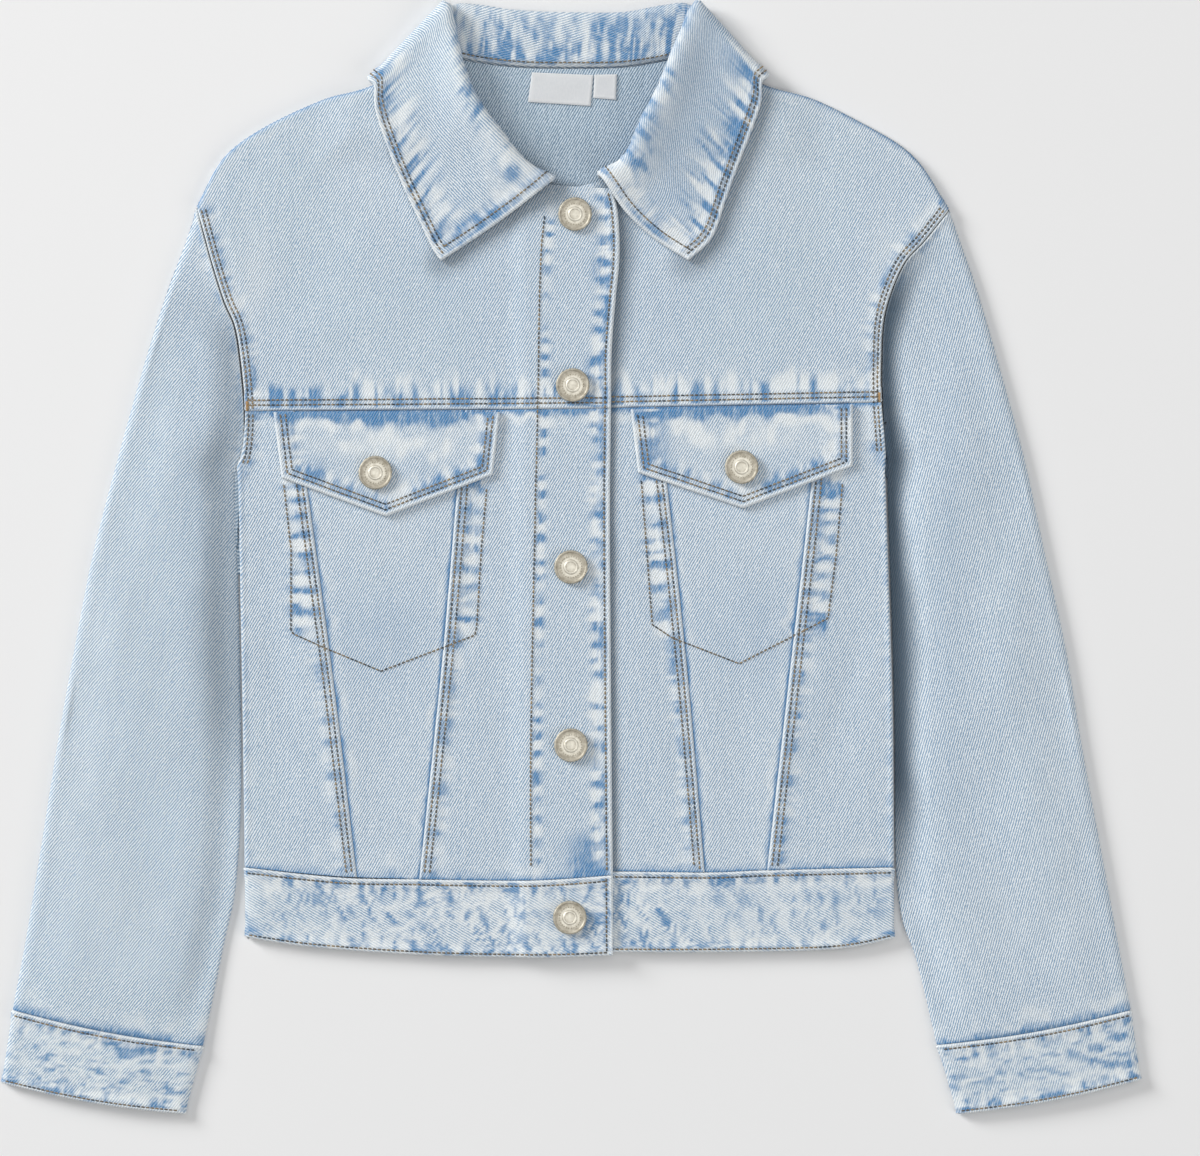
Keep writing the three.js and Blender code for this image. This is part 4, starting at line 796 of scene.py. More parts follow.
def sew(seat, rows, pitch):
    """Stitches of several plan lines, set on a surface."""
    made = []
    for points in rows:
        for (x, y), way in zip(*stitch_places(points, pitch)):
            found = seat(x, y)
            if found is not None and abs(found[1][2]) > 0.25:
                place, up = found
                made.append((place + up * STITCH_LIFT, np.array([way[0], way[1], 0.0]), up))
    return made


def edge_rows(edges, middle):
    """Plan lines of the edges' stitch rows, on the side of the panel's middle."""
    lines = []
    for edge in edges:
        for row in edge.rows:
            both = [offset_line(edge.points, row * sign) for sign in (1, -1)]
            lines.append(min(both, key=lambda points: np.linalg.norm(points - middle, axis=1).sum()))
    return lines


def panel(name, grid, surface, edges, thickness, stand_off=0.0, washes=(), lines=(), nodes=None,
          downwards=False, lift=0.0, dusk=None):
    """One panel of cloth with its sewn edges and stitches, made as a sheet that lies flat."""
    sizes = bpy.context.scene.jacket_sizes
    shape = grid.shape[:2] + (3,)
    p = grid.reshape(-1, 2)
    point, normal = surface(p)
    height, wear, blue = relief(p, edges, washes)
    under, over = (stand_off, stand_off + thickness) if stand_off else (-thickness, 0.0)
    outer = (point + normal * (over + height * sizes.relief)[:, None]).reshape(shape)
    inner = (point + normal * under).reshape(shape)
    outer[..., 2] = np.maximum(outer[..., 2], 0) + lift
    inner[..., 2] = np.maximum(inner[..., 2], 0) + lift
    obj = wall(name, outer, inner, wear, blue, grid, dusk=dusk(p) if dusk else None)
    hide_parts(*(nodes or [name.replace("cloth_", "")]))
    seat = ground(outer, downwards)
    plans = edge_rows(edges, p.mean(0)) + [line.points for line in lines]
    threads = stitching(name, sew(seat, plans, sizes.stitch / MM))
    GROUND[name] = seat


# What one step makes and later steps use: materials, and the surfaces that trim is set on
MATERIALS = {}
GROUND = {}


# Materials


class Nodes:
    """A material's node tree, with short calls that add and join its nodes."""

    def __init__(self, name):
        self.material = bpy.data.materials.new(name)
        self.material.use_nodes = True
        self.tree = self.material.node_tree
        self.shader = self.tree.nodes["Principled BSDF"]

    def add(self, kind, **settings):
        node = self.tree.nodes.new(kind)
        for key, value in settings.items():
            if hasattr(node, key):
                setattr(node, key, value)
            else:
                self.put(value, node.inputs[key.replace("_", " ").title()])
        return node

    def put(self, value, socket):
        if isinstance(value, bpy.types.NodeSocket):
            self.tree.links.new(value, socket)
        elif socket.type == "RGBA":
            socket.default_value = (*tuple(value)[:3], 1)
        else:
            socket.default_value = value

    def math(self, operation, a, b=0.0, limit=False):
        node = self.add("ShaderNodeMath", operation=operation, use_clamp=limit)
        self.put(a, node.inputs[0])
        self.put(b, node.inputs[1])
        return node.outputs[0]

    def mix(self, factor, a, b):
        node = self.add("ShaderNodeMix", data_type="RGBA")
        self.put(factor, node.inputs["Factor"])
        self.put(a, node.inputs[6])
        self.put(b, node.inputs[7])
        return node.outputs[2]

    def noise(self, place, scale, detail=2.0, stretch=None):
        if stretch is not None:
            stretched = self.add("ShaderNodeMapping")
            stretched.inputs["Scale"].default_value = stretch
            self.put(place, stretched.inputs["Vector"])
            place = stretched.outputs[0]
        node = self.add("ShaderNodeTexNoise", noise_dimensions="3D")
        node.inputs["Scale"].default_value = scale
        node.inputs["Detail"].default_value = detail
        self.put(place, node.inputs["Vector"])
        return node.outputs[0]

    def centred(self, value, amount):
        return self.math("MULTIPLY", self.math("SUBTRACT", value, 0.5), amount)

    def attribute(self, name):
        return self.add("ShaderNodeAttribute", attribute_name=name).outputs["Fac"]

    def finish(self, colour, height, distance, roughness, strength=1.0):
        self.put(colour, self.shader.inputs["Base Color"])
        self.put(roughness, self.shader.inputs["Roughness"])
        bump_node = self.add("ShaderNodeBump")
        bump_node.inputs["Strength"].default_value = strength
        bump_node.inputs["Distance"].default_value = distance
        self.put(height, bump_node.inputs["Height"])
        self.tree.links.new(bump_node.outputs[0], self.shader.inputs["Normal"])
        return self.material


def blended(first, second, share):
    return [share * a + (1 - share) * b for a, b in zip(first, second)]


def denim(name, pale, deep, indigo, worn, dusk, contrast):
    """Twill of blue warp over white weft, washed and worn along its seams."""
    n = Nodes(name)
    uv = n.add("ShaderNodeUVMap", uv_map="cloth").outputs[0]
    across = n.add("ShaderNodeVectorMath", operation="DOT_PRODUCT")
    angle = math.radians(TWILL_ACROSS)
    n.put(uv, across.inputs[0])
    n.put((math.cos(angle), math.sin(angle), 0), across.inputs[1])
    waver = n.centred(n.noise(uv, 190.0), 0.8)
    phase = n.math("MULTIPLY", across.outputs["Value"], 2 * math.pi / TWILL_PITCH)
    twill = n.math("SINE", n.math("ADD", phase, n.math("MULTIPLY", waver, 4.2)))
    yarn = n.noise(uv, 1.0, 2.0, (1500, 650, 1))
    slub = n.noise(uv, 1.0, 2.0, (620, 75, 1))
    cloud = n.noise(uv, 1.0, 3.0, (26, 15, 1))
    streak = n.noise(uv, 1.0, 2.0, (170, 22, 1))
    shade = n.math("MULTIPLY", twill, 1.15 * contrast)
    for value, amount in ((yarn, 4.2 * contrast), (slub, 1.2), (cloud, 0.26), (streak, 0.22)):
        shade = n.math("ADD", shade, n.centred(value, amount))
    shade = n.math("ADD", shade, 0.5, limit=True)
    colour = n.mix(shade, deep, pale)
    # Blue and white marks take up the yarns one by one, so that their edges are grainy
    grit = n.math("ADD", n.centred(slub, 3.0), n.math("MULTIPLY", twill, 0.22))
    grit = n.math("ADD", n.centred(yarn, 2.8), grit)
    blue = n.math("MULTIPLY", n.attribute("blue"), n.math("ADD", 1.0, grit), limit=True)
    colour = n.mix(blue, colour, n.mix(shade, indigo, blended(indigo, pale, 0.74)))
    less = n.math("SUBTRACT", 1.0, n.math("MULTIPLY", grit, 0.6))
    wear = n.math("MULTIPLY", n.attribute("wear"), less, limit=True)
    colour = n.mix(wear, colour, n.mix(shade, blended(worn, deep, 0.62), worn))
    # Painted shade: the colour darkens towards the shade colour by the painted shade attribute
    colour = n.mix(n.attribute("dusk"), colour, dusk)
    height = n.math("ADD", n.centred(yarn, 1.0), n.centred(slub, 0.8))
    height = n.math("ADD", n.math("MULTIPLY", twill, 0.3), height)
    n.shader.inputs["Sheen Weight"].default_value = 0.12
    n.shader.inputs["Sheen Roughness"].default_value = 0.6
    n.shader.inputs["Specular IOR Level"].default_value = 0.18
    return n.finish(colour, height, 0.00028, n.math("ADD", 0.82, n.centred(yarn, 0.2)), 0.9)


def thread(name, pale, dark):
    n = Nodes(name)
    place = n.add("ShaderNodeTexCoord").outputs["Object"]
    patch = n.noise(place, 190.0, 2.0)
    ramp = n.math("MULTIPLY", n.math("SUBTRACT", patch, 0.36), 3.6, limit=True)
    ply = n.noise(place, 5200.0, 1.0)
    colour = n.mix(n.math("ADD", ramp, n.centred(ply, 0.5), limit=True), dark, pale)
    n.shader.inputs["Specular IOR Level"].default_value = 0.25
    return n.finish(colour, ply, 0.00015, n.math("ADD", 0.62, n.centred(ply, 0.3)))


def metal(name, bright, dark):
    """Antique nickel: bright on its high rims, darker and rougher where it is recessed."""
    n = Nodes(name)
    place = n.add("ShaderNodeTexCoord").outputs["Object"]
    tarnish = n.noise(place, 520.0, 3.0)
    grain = n.noise(place, 2600.0, 2.0)
    hollow = n.math("MULTIPLY", n.attribute("hollow"), 0.75)
    dirt = n.math("ADD", hollow, n.centred(tarnish, 0.9), limit=True)
    colour = n.mix(dirt, bright, dark)
    n.shader.inputs["Metallic"].default_value = 0.55
    rough = n.math("ADD", 0.42, n.math("ADD", n.math("MULTIPLY", dirt, 0.22), n.centred(grain, 0.14)))
    return n.finish(colour, n.math("ADD", grain, tarnish), 0.00005, rough, 0.6)


def woven_label(name, pale, shade):
    n = Nodes(name)
    uv = n.add("ShaderNodeUVMap", uv_map="cloth").outputs[0]
    weft = n.add("ShaderNodeTexWave", wave_type="BANDS", bands_direction="Y")
    weft.inputs["Scale"].default_value = 900.0
    weft.inputs["Distortion"].default_value = 0.6
    n.put(uv, weft.inputs["Vector"])
    fleck = n.noise(uv, 1.0, 2.0, (1400, 500, 1))
    lines = weft.outputs["Fac"]
    tone = n.math("ADD", n.math("MULTIPLY", lines, 0.25), n.math("MULTIPLY", fleck, 0.45))
    tone = n.math("SUBTRACT", tone, n.math("MULTIPLY", n.attribute("wear"), 0.35), limit=True)
    n.shader.inputs["Sheen Weight"].default_value = 0.2
    rough = n.math("ADD", 0.55, n.centred(fleck, 0.2))
    return n.finish(n.mix(tone, pale, shade), lines, 0.0001, rough)


def paper(name, colour, shade):
    n = Nodes(name)
    place = n.add("ShaderNodeTexCoord").outputs["Object"]
    cloud = n.noise(place, 1.3, 2.0)
    n.shader.inputs["Specular IOR Level"].default_value = 0.05
    tone = n.mix(n.math("MULTIPLY", cloud, 0.5), colour, shade)
    rough = n.math("ADD", 0.9, n.centred(cloud, 0.1))
    return n.finish(tone, n.noise(place, 400.0), 0.00005, rough, 0.2)


def linear(red, green, blue):
    """A colour by its screen values from 0 to 255, as the linear values that nodes use."""
    shares = [v / 255 for v in (red, green, blue)]
    return tuple(v / 12.92 if v <= 0.04045 else ((v + 0.055) / 1.055) ** 2.4 for v in shares)


def make_materials():
    c = bpy.context.scene.jacket_colours
    # Indigo and worn white are marks of the cloth; the last colour is the painted shade
    marks = (c.indigo, c.worn, c.dusk)
    MATERIALS["denim"] = denim("denim_light_wash", c.pale, c.deep, *marks, 1.0)
    MATERIALS["reverse"] = denim("denim_reverse", c.reverse_pale, c.reverse_deep, *marks, 0.8)
    MATERIALS["thread"] = thread("topstitch_thread", c.thread_pale, c.thread_dark)
    MATERIALS["tack"] = thread("bartack_thread", c.tack, c.thread_pale)
    MATERIALS["fray"] = thread("frayed_fibre", c.worn, c.pale)
    MATERIALS["metal"] = metal("antique_nickel", c.metal, c.metal_dark)
    MATERIALS["label"] = woven_label("label_satin", c.label, c.label_shade)


# Panels


def painted_shade_of_front(side):
    """Painted shadow in the lee of the collar's ends and, on the wearer's left, of the overlapping front
    edge.
    """
    rows = COLLAR_FRONT[side]
    if side == "right":
        lines = [(straight(rows[-1][:2], rows[-1][4:6]), 0.44, 13.0)]
    else:
        lines = [(curve([row[4:6] for row in rows]), 0.42, 15.0),
                 (curve(FRONT_EDGE["right"]), 0.66, 12.0)]

    def dusk(p):
        deepest = np.zeros(len(p))
        for line, strength, reach in lines:
            near = Near(line.points, p)
            # Below the yoke seam the front lies flat and the painted shadow is narrow
            narrow = lerp(0.42, 1.0, smooth(near.y, 70, 130))
            uneven = 1 + 0.2 * noise(near.y / 21, 0.5, 193)
            shade = strength * (1 - smooth(near.d / (reach * narrow * uneven), 0.05, 1.0))
            deepest = np.maximum(deepest, shade)
        return deepest
    return dusk


def make_fronts():
    sizes = bpy.context.scene.jacket_sizes
    cloth, step = sizes.cloth / MM, sizes.grid / MM
    facing = curve(FACING)
    for side in SIDES:
        e, over = EDGES[side], side == "right"
        inward, k = e["inward"], (0 if over else 40)
        surface = body_surface(side, "front", cloth + SEAM if over else 0.0)
        # Painted shadow beside the collar's ends and the front edge
        dusk = painted_shade_of_front(side)
        arm_y, edge_y = YOKE_SEAM[side]
        front_edge = curve(FRONT_EDGE[side]) if over else Line(FRONT_EDGE[side])
        arm_share, edge_share = e["armhole"].share_at(arm_y), front_edge.share_at(edge_y)
        armhole = Edge(e["armhole"], "lap", (2.0, 4.2), 0.55, 3.0, 0.9, 3 + k)
        if over:
            edge_fold = Edge(front_edge, "fold", (3.1,), 0.75, 4.0, 1.9, 5 + k)
            sewn_facing = [facing]
            placket = [spots(facing, 3.4, 2.4, 10.4, 1.0, 61),
                       spots(front_edge, -8.2, 2.5, 10.6, 1.0, 63), faded(PLACKET_STAINS)]
        else:
            edge_fold = Edge(front_edge, "under", (), 0.3, 4.0, 1.9, 5 + k)
            sewn_facing, placket = [], []
        # Yoke
        left = e["armhole"].part(arm_share, 0).moved(inward * ARMHOLE_GAP, 0)
        right = front_edge.part(edge_share, 0)
        neck_rows = [COLLAR_TURN[side]] + COLLAR_FRONT[side]
        neck = curve([row[:2] for row in neck_rows] + [FRONT_EDGE[side][0]])
        seam_line = straight(left(0)[0], right(0)[0])
        us, vs = graded(190, step), graded(135, step)
        grid = plan_grid(seam_line, in_turn(e["shoulder"], neck, SHOULDER_SHARE), left, right, us, vs)
        lift = np.zeros(grid.shape[:2])
        lift[:, -1] = np.where(us <= SHOULDER_SHARE, HALF_SEAM, 0.0)
        yoke_edges = [Edge(seam_line, "lap", (3.0, 5.6), 1.0, 6.0, 1.0, 7 + k), armhole, edge_fold,
                      Edge(e["shoulder"], "under", (), 0.25, 3.0, 1.0, 9 + k)]
        worn = faded([(inward * -100, 205, 30, 30, 0.12), (inward * -60, 140, 60, 30, -0.06),
                      (inward * -165, 150, 10, 26, 0.35)])
        panel(f"cloth_front_yoke_{side}", grid, surface, yoke_edges, cloth,
              washes=placket + [worn], lines=sewn_facing, lift=lift, dusk=dusk)
        # Lower panels
        outer_slant, inner_slant = curve(OUTER_SLANT[side]), curve(INNER_SLANT[side])
        arm_part = e["armhole"].part(arm_share, 1)
        waist = e["flank"].share_at(WAIST_SEAM[side][0][1])
        side_line = joined(arm_part, e["flank"].part(0, waist))
        bag = Line(POCKET_BAG[side])
        bag_spots = [spots(Line(POCKET_BAG[side][:3]), 5.0, 5.6, 9.5, 1.1, 65 + k, -46.0),
                     spots(Line(POCKET_BAG[side][-3:]), -5.0, 5.6, 9.5, 1.1, 67 + k, -46.0)]
        shared = [Edge(seam_line, "under", (), 0.8, 4.0, 1.0, 11 + k),
                  Edge(curve(WAIST_SEAM[side]), "under", (), 0.32, 5.0, 1.0, 13 + k)]
        middle_wash = faded([(inward * -100, -40, 30, 26, -0.14), (inward * -98, 10, 34, 22, 0.10),
                             (inward * -90, -120, 24, 40, 0.08)])
        strips = {
            "side": (side_line, outer_slant, 34, [], [],
                     [Edge(side_line, "lap", (), 0.2, 3.0, 0.6, 15 + k),
                      Edge(arm_part, "lap", (2.0, 4.2), 0.45, 3.0, 0.9, 3 + k),
                      Edge(outer_slant, "lap", (2.4, 5.2), 0.55, 3.5, 1.1, 17 + k)]),
            "middle": (outer_slant, inner_slant, 82, [middle_wash], [],
                       [Edge(outer_slant, "under", (), 0.45, 2.6, 1.0, 19 + k),
                        Edge(inner_slant, "under", (), 0.45, 2.6, 1.0, 21 + k)]),
            "center": (inner_slant, front_edge.part(edge_share, 1), 86, placket, sewn_facing,
                       [Edge(inner_slant, "lap", (2.4, 5.2), 0.55, 3.5, 1.1, 23 + k), edge_fold]),
        }
        for part, (near, far, width, washes, lines, seams) in strips.items():
            low_x = np.linspace(near(1)[0, 0], far(1)[0, 0], 40)
            bottom = Line(np.column_stack([low_x, height_on(WAIST_SEAM[side], low_x) - 0.1]))
            start = straight(near(0)[0], far(0)[0])
            grid = plan_grid(bottom, start, near.backwards(), far.backwards(),
                             graded(width, step), graded(243, step))
            panel(f"cloth_front_{part}_{side}", grid, surface, shared + seams, cloth,
                  washes=bag_spots + washes, lines=[bag] + lines, dusk=dusk if part == "center" else None)


def make_back():
    sizes = bpy.context.scene.jacket_sizes
    cloth, step = sizes.cloth / MM, sizes.back_grid / MM
    halves = [EDGES[side] for side in SIDES]
    shares = [e["armhole"].share_at(BACK_YOKE_Y) for e in halves]
    rise = [e["armhole"].part(share, 0) for e, share in zip(halves, shares)]
    neck = [curve([row[:2] for row in (COLLAR_MIDDLE, *COLLAR_BACK[side], COLLAR_TURN[side])])
            for side in SIDES]
    top = joined(halves[0]["shoulder"], Line(neck[0].points[::-1]), neck[1],
                 Line(halves[1]["shoulder"].points[::-1]))
    bottom = straight(rise[0](0)[0], rise[1](0)[0])
    grid = plan_grid(bottom, top, rise[0], rise[1], graded(370, step), graded(140, step))
    edges = [Edge(bottom, "lap", (3.0, 5.6), 0.9, 6.0, 1.0, 81)]
    edges += [Edge(e["armhole"], "lap", (2.0, 4.2), 0.5, 3.0, 0.9, 83) for e in halves]
    panel("cloth_back_yoke", grid, whole_back, edges, cloth, downwards=True)
    drops = []
    for side, e, share in zip(SIDES, halves, shares):
        waist = e["flank"].share_at(WAIST_SEAM[side][0][1])
        drops.append(joined(e["armhole"].part(share, 1), e["flank"].part(0, waist)))
    waist_line = straight(drops[0](1)[0], drops[1](1)[0])
    grid = plan_grid(waist_line, straight(drops[0](0)[0], drops[1](0)[0]), drops[0].backwards(),
                     drops[1].backwards(), graded(335, step), graded(262, step))
    slants = [Line([(-92, 100), (-64, -160)]), Line([(92, 100), (64, -160)])]
    edges = [Edge(bottom, "under", (), 0.6, 4.0, 1.0, 85),
             Edge(waist_line, "under", (), 0.4, 5.0, 1.0, 87)]
    edges += [Edge(line, "under", (), 0.5, 3.0, 1.0, 89 + i) for i, line in enumerate(slants)]
    rows = [Line(offset_line(line.points, sign * row))
            for line, sign in zip(slants, (1, -1)) for row in (2.4, 5.2)]
    panel("cloth_back_body", grid, whole_back, edges, cloth, downwards=True, lines=rows)


def sleeve_across(side, share, across):
    e = EDGES[side]
    gap = np.array([-e["inward"] * 1.3, -1.0]) * HALF_SEAM
    start, end = e["outer"](share)[0], e["inner"](share)[0]
    a, b = e["armhole"](0)[0], e["armhole"](1)[0]
    fade = float((1 - smooth(share, 0, 0.55)) ** 1.4)
    across = np.asarray(across)
    bulge = e["armhole"](across) - (a + (b - a) * across[:, None])
    return start + (end - start) * across[:, None] + (bulge + gap) * fade


def cuff_across(side, share, across):
    c = {key: np.array(value) for key, value in CUFF[side].items()}
    start = lerp(c["top_outer"], c["bottom_outer"], share)
    end = lerp(c["top_inner"], c["bottom_inner"], share)
    across = np.asarray(across)
    line = start + (end - start) * across[:, None]
    line[:, 1] -= CUFF_SAG * np.sin(math.pi * across)
    return line


def sleeve_row(side, share, across):
    """One row across a sleeve, of which the last follows the cuff's seam."""
    return sleeve_across(side, share, across) if share < 1 else cuff_across(side, 0, across) + (0, CUFF_GAP)


def settle_beside_body(side, face, p):
    """Below the armhole a sleeve lies in a flat fold beside the body, then swells to its middle."""
    e = EDGES[side]
    inner, outer = Near(e["sleeve_inner_points"], p), Near(e["sleeve_outer_points"], p)
    loose = 1 - smooth(inner.y, e["underarm_y"] - 6, e["underarm_y"] + 80)
    loose = loose * smooth(p[:, 1], -262, -205)
    slope = SLEEVE_INNER_SLOPE if face == "front" else ROLL
    now = np.sin(np.arccos(1 - clamp(inner.d / slope)))
    fold = np.sin(np.arccos(1 - clamp(inner.d / 1.3)))
    if face == "back":
        return loose * (ROLL * now - 1.3 - 1.3 * fold) * (1 - smooth(inner.d, 1.3, 4.0))
    wanted = 1.3 + 1.2 * fold + 2.7 * smooth(inner.d, 6.0, 20.0)
    swell = 1.5 * smooth(inner.d, 5, 30) * smooth(outer.d, 3, 26)
    return loose * (wanted - ROLL - ROLL * now + swell)


def painted_shade_beside_body(side, p):
    """How much painted shade darkens the sleeve beside the body, from the armhole down to where it swings
    out.
    """
    near = Near(EDGES[side]["sleeve_inner_points"], p)
    strength, reach = (0.93, 15.0) if side == "left" else (0.42, 26.0)
    low, high = (-165, 150) if side == "left" else (-120, 125)
    uneven = 1 + 0.22 * noise(near.y / 26, 0.5, 191)
    along = (1 - smooth(near.y, high - 20, high + 28)) * smooth(near.y, low - 25, low + 55)
    return strength * along * (1 - smooth(near.d / (reach * uneven), 0.25, 1.0))


def tube(name, side, across_at, shares, edges, thickness, washes):
    """A flat tube of cloth: its front, then its back, round and closed on itself."""
    sizes = bpy.context.scene.jacket_sizes
    step, back_step = sizes.grid / MM, sizes.back_grid / MM
    start, end = across_at(shares[0], np.array([0.0, 1.0]))
    width = float(np.linalg.norm(end - start))
    us = {"front": graded(width, step), "back": graded(width, back_step)[::-1][1:-1]}
    plans, outer, wears, blues, painted_shades = [], [], [], [], []
    for face in ("front", "back"):
        grid = np.stack([across_at(share, us[face]) for share in shares], 1)
        p = grid.reshape(-1, 2)
        point, normal = sleeve_surface(side, face)(p)
        height, wear, blue = relief(p, edges, washes[face])
        raised = point + normal * (height * sizes.relief)[:, None]
        raised[:, 2] = np.maximum(raised[:, 2] + settle_beside_body(side, face, p), 0)
        plans.append(grid)
        outer.append(raised.reshape(grid.shape[:2] + (3,)))
        # The third of these is the painted shade beside the body
        for marks, values in ((wears, wear), (blues, blue), (painted_shades, painted_shade_beside_body(side, p))):
            marks.append(values.reshape(grid.shape[:2]))
    ring = np.vstack(outer)
    spread = np.concatenate([ring[-1:], ring, ring[:1]])
    normal = np.cross(spread[2:] - spread[:-2], np.gradient(ring, axis=1))
    normal /= np.maximum(np.linalg.norm(normal, axis=2), 1e-9)[..., None]
    if normal[len(outer[0]) // 2, :, 2].mean() < 0:
        normal = -normal
    inner = ring - normal * thickness * 0.92
    inner[..., 2] = np.maximum(inner[..., 2], 0.2)
    obj = wall(f"cloth_{name}", ring, inner, np.vstack(wears), np.vstack(blues),
               turned(np.vstack(plans), GRAIN[f"sleeve_{side}"]), ring=True, dusk=np.vstack(painted_shades))
    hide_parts(name)
    rows = edge_rows(edges, plans[0].reshape(-1, 2).mean(0))
    stitches = []
    for part, downwards in ((outer[0], False), (outer[1], True)):
        stitches += sew(ground(part, downwards), rows, sizes.stitch / MM)
    stitching(name, stitches)


def make_sleeves():
    sizes = bpy.context.scene.jacket_sizes
    cloth, double, step = sizes.cloth / MM, sizes.double / MM, sizes.grid / MM
    # Rows down the sleeve, closer together at both ends
    ends = np.array(EDGE_STEPS) / SLEEVE_LENGTH
    rows = np.linspace(0.012, 0.988, int(365 / step))
    shares = np.concatenate([[0], ends[1:], rows, 1 - ends[1:-1][::-1], [1]])
    for side in SIDES:
        inward, k = EDGES[side]["inward"], (0 if side == "right" else 30)
        seam = Line(cuff_across(side, 0, np.linspace(0, 1, 60)))
        end = Line(cuff_across(side, 1, np.linspace(0, 1, 60)))
        edges = [Edge(EDGES[side]["armhole"], "lap", (), 0.35, 3.0, 1.3, 101 + k),
                 Edge(seam, "under", (), 0.55, 5.0, 1.0, 103 + k)]
        # The first, bluer band along the sleeve near the body is painted shade; the others are paler patches
        shade = faded([(inward * -196, 0, 9, 110, -0.10), (inward * -262, -120, 16, 90, 0.12),
                       (inward * -246, -30, 14, 80, 0.10), (inward * -230, -190, 26, 30, 0.12)])
        tube(f"sleeve_{side}", side, partial(sleeve_row, side), shares, edges, cloth,
             {"front": [shade], "back": []})
        edges = [Edge(seam, "lap", (2.6,), 0.7, 4.0, 1.2, 107 + k),
                 Edge(end, "fold", (1.7,), 0.7, 4.0, 1.0, 109 + k)]
        rope = [roping(0.8, 10.0, 2.9, 0.0, 111 + k)]
        tube(f"cuff_{side}", side, partial(cuff_across, side), graded(BAND_WIDTH, step), edges, double,
             {"front": rope, "back": rope})


def height_on(rows, x):
    points = rounded(sorted(rows))
    return np.interp(x, points[:, 0], points[:, 1])


def flank_x(side, y):
    points = EDGES[side]["flank"].points[::-1]
    return np.interp(y, points[:, 1], points[:, 0])


def back_hem(x):
    return lerp(*BACK_HEM_Y, 1 - (x / 170) ** 2)


def waistband_columns(step, back_step):
    """Places in plan down each column of the waistband, by side and face, from front end to front end."""
    up = graded(BAND_WIDTH, step)
    back_seam = WAIST_SEAM["right"][0][1] - HALF_SEAM
    columns = {}

    def add(side, face, xs, beside_flank=False):
        inward = EDGES[side]["inward"]
        for x in xs:
            at = flank_x(side, -180.0) + inward * x if beside_flank else x
            if face == "front":
                top, low = height_on(WAIST_SEAM[side], at) - HALF_SEAM, height_on(HEM[side], at)
            else:
                top, low = back_seam, back_hem(at)
            y = lerp(low, top, up)
            plan_x = flank_x(side, y) + inward * x if beside_flank else np.full(len(y), x)
            columns.setdefault((side, face), []).append(np.column_stack([plan_x, y]))

    roll = np.array(EDGE_STEPS[:6])
    inset = EDGE_STEPS[-1]
    right_x, left_x = BAND_FLANK_X["right"] + 2 * inset, BAND_FLANK_X["left"] - 2 * inset
    middle = np.linspace(right_x, left_x, int(320 / back_step))
    add("right", "front", BAND_END_X - np.array(EDGE_STEPS[:-1]))
    add("right", "front", np.linspace(BAND_END_X - inset, right_x, int(180 / step)))
    add("right", "front", roll[::-1], beside_flank=True)
    add("right", "back", roll[1:], beside_flank=True)
    add("right", "back", middle[middle < 0])
    add("left", "back", middle[middle >= 0])
    add("left", "back", roll[::-1], beside_flank=True)
    add("left", "front", roll[1:], beside_flank=True)
    add("left", "front", np.linspace(left_x, UNDERLAP_X, int(178 / step)))
    return {key: np.stack(plans) for key, plans in columns.items()}


def waistband_edges(side, face):
    if face == "back":
        seam_y = WAIST_SEAM["right"][0][1] - HALF_SEAM
        hem = Line([(x, back_hem(x)) for x in np.linspace(-169.5, 168, 40)])
        return [Edge(straight((-170, seam_y), (168, seam_y)), "lap", (2.9,), 0.7, 4.0, 1.3, 137),
                Edge(hem, "fold", (1.5,), 0.7, 4.0, 0.9, 139)]
    edges = [Edge(curve(WAIST_SEAM[side]), "lap", (2.9,), 0.7, 4.0, 1.3, 133),
             Edge(curve(HEM[side]), "fold", (1.5,), 0.7, 4.0, 0.9, 135)]
    if side == "right":
        front_end = straight((21.8, -164.6), (22.2, -206.3))
        edges.append(Edge(front_end, "fold", (3.6,), 0.6, 4.0, 1.6, 141))
    return edges


def make_waistband():
    """One strip from the right front edge round the back to the left front edge."""
    sizes = bpy.context.scene.jacket_sizes
    double = sizes.double / MM
    columns = waistband_columns(sizes.grid / MM, sizes.back_grid / MM)
    washes = [roping(0.95, 3.1, 11.0, 0.35, 131),
              faded([(6, -190, 12, 9, -0.7), (10, -172, 10, 5, -0.5), (-30, -186, 30, 14, 0.25)])]
    outer, inner, wears, blues, stitches = [], [], [], [], []
    for (side, face), grid in columns.items():
        p = grid.reshape(-1, 2)
        raised = double + SEAM if (side, face) == ("right", "front") else 0.0
        point, normal = body_surface(side, face, raised)(p)
        edges = waistband_edges(side, face)
        height, wear, blue = relief(p, edges, washes)
        top_side = point + normal * (height * sizes.relief)[:, None]
        top_side[:, 2] = np.maximum(top_side[:, 2], 0)
        shape = grid.shape[:2]
        outer.append(top_side.reshape(shape + (3,)))
        inner.append((point - normal * double).reshape(shape + (3,)))
        wears.append(wear.reshape(shape))
        blues.append(blue.reshape(shape))
        stitches += sew(ground(outer[-1], face == "back"), edge_rows(edges, p.mean(0)), sizes.stitch / MM)
    plan = turned(np.concatenate(list(columns.values())), GRAIN["waistband"])
    obj = wall("cloth_waistband", *(np.vstack(parts) for parts in (outer, inner, wears, blues)), plan)
    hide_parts("waistband")
    stitching("waistband", stitches)


def flap_border(f):
    return Line([f["top_outer"], f["side_outer"], f["tip"], f["side_inner"], f["top_inner"]])


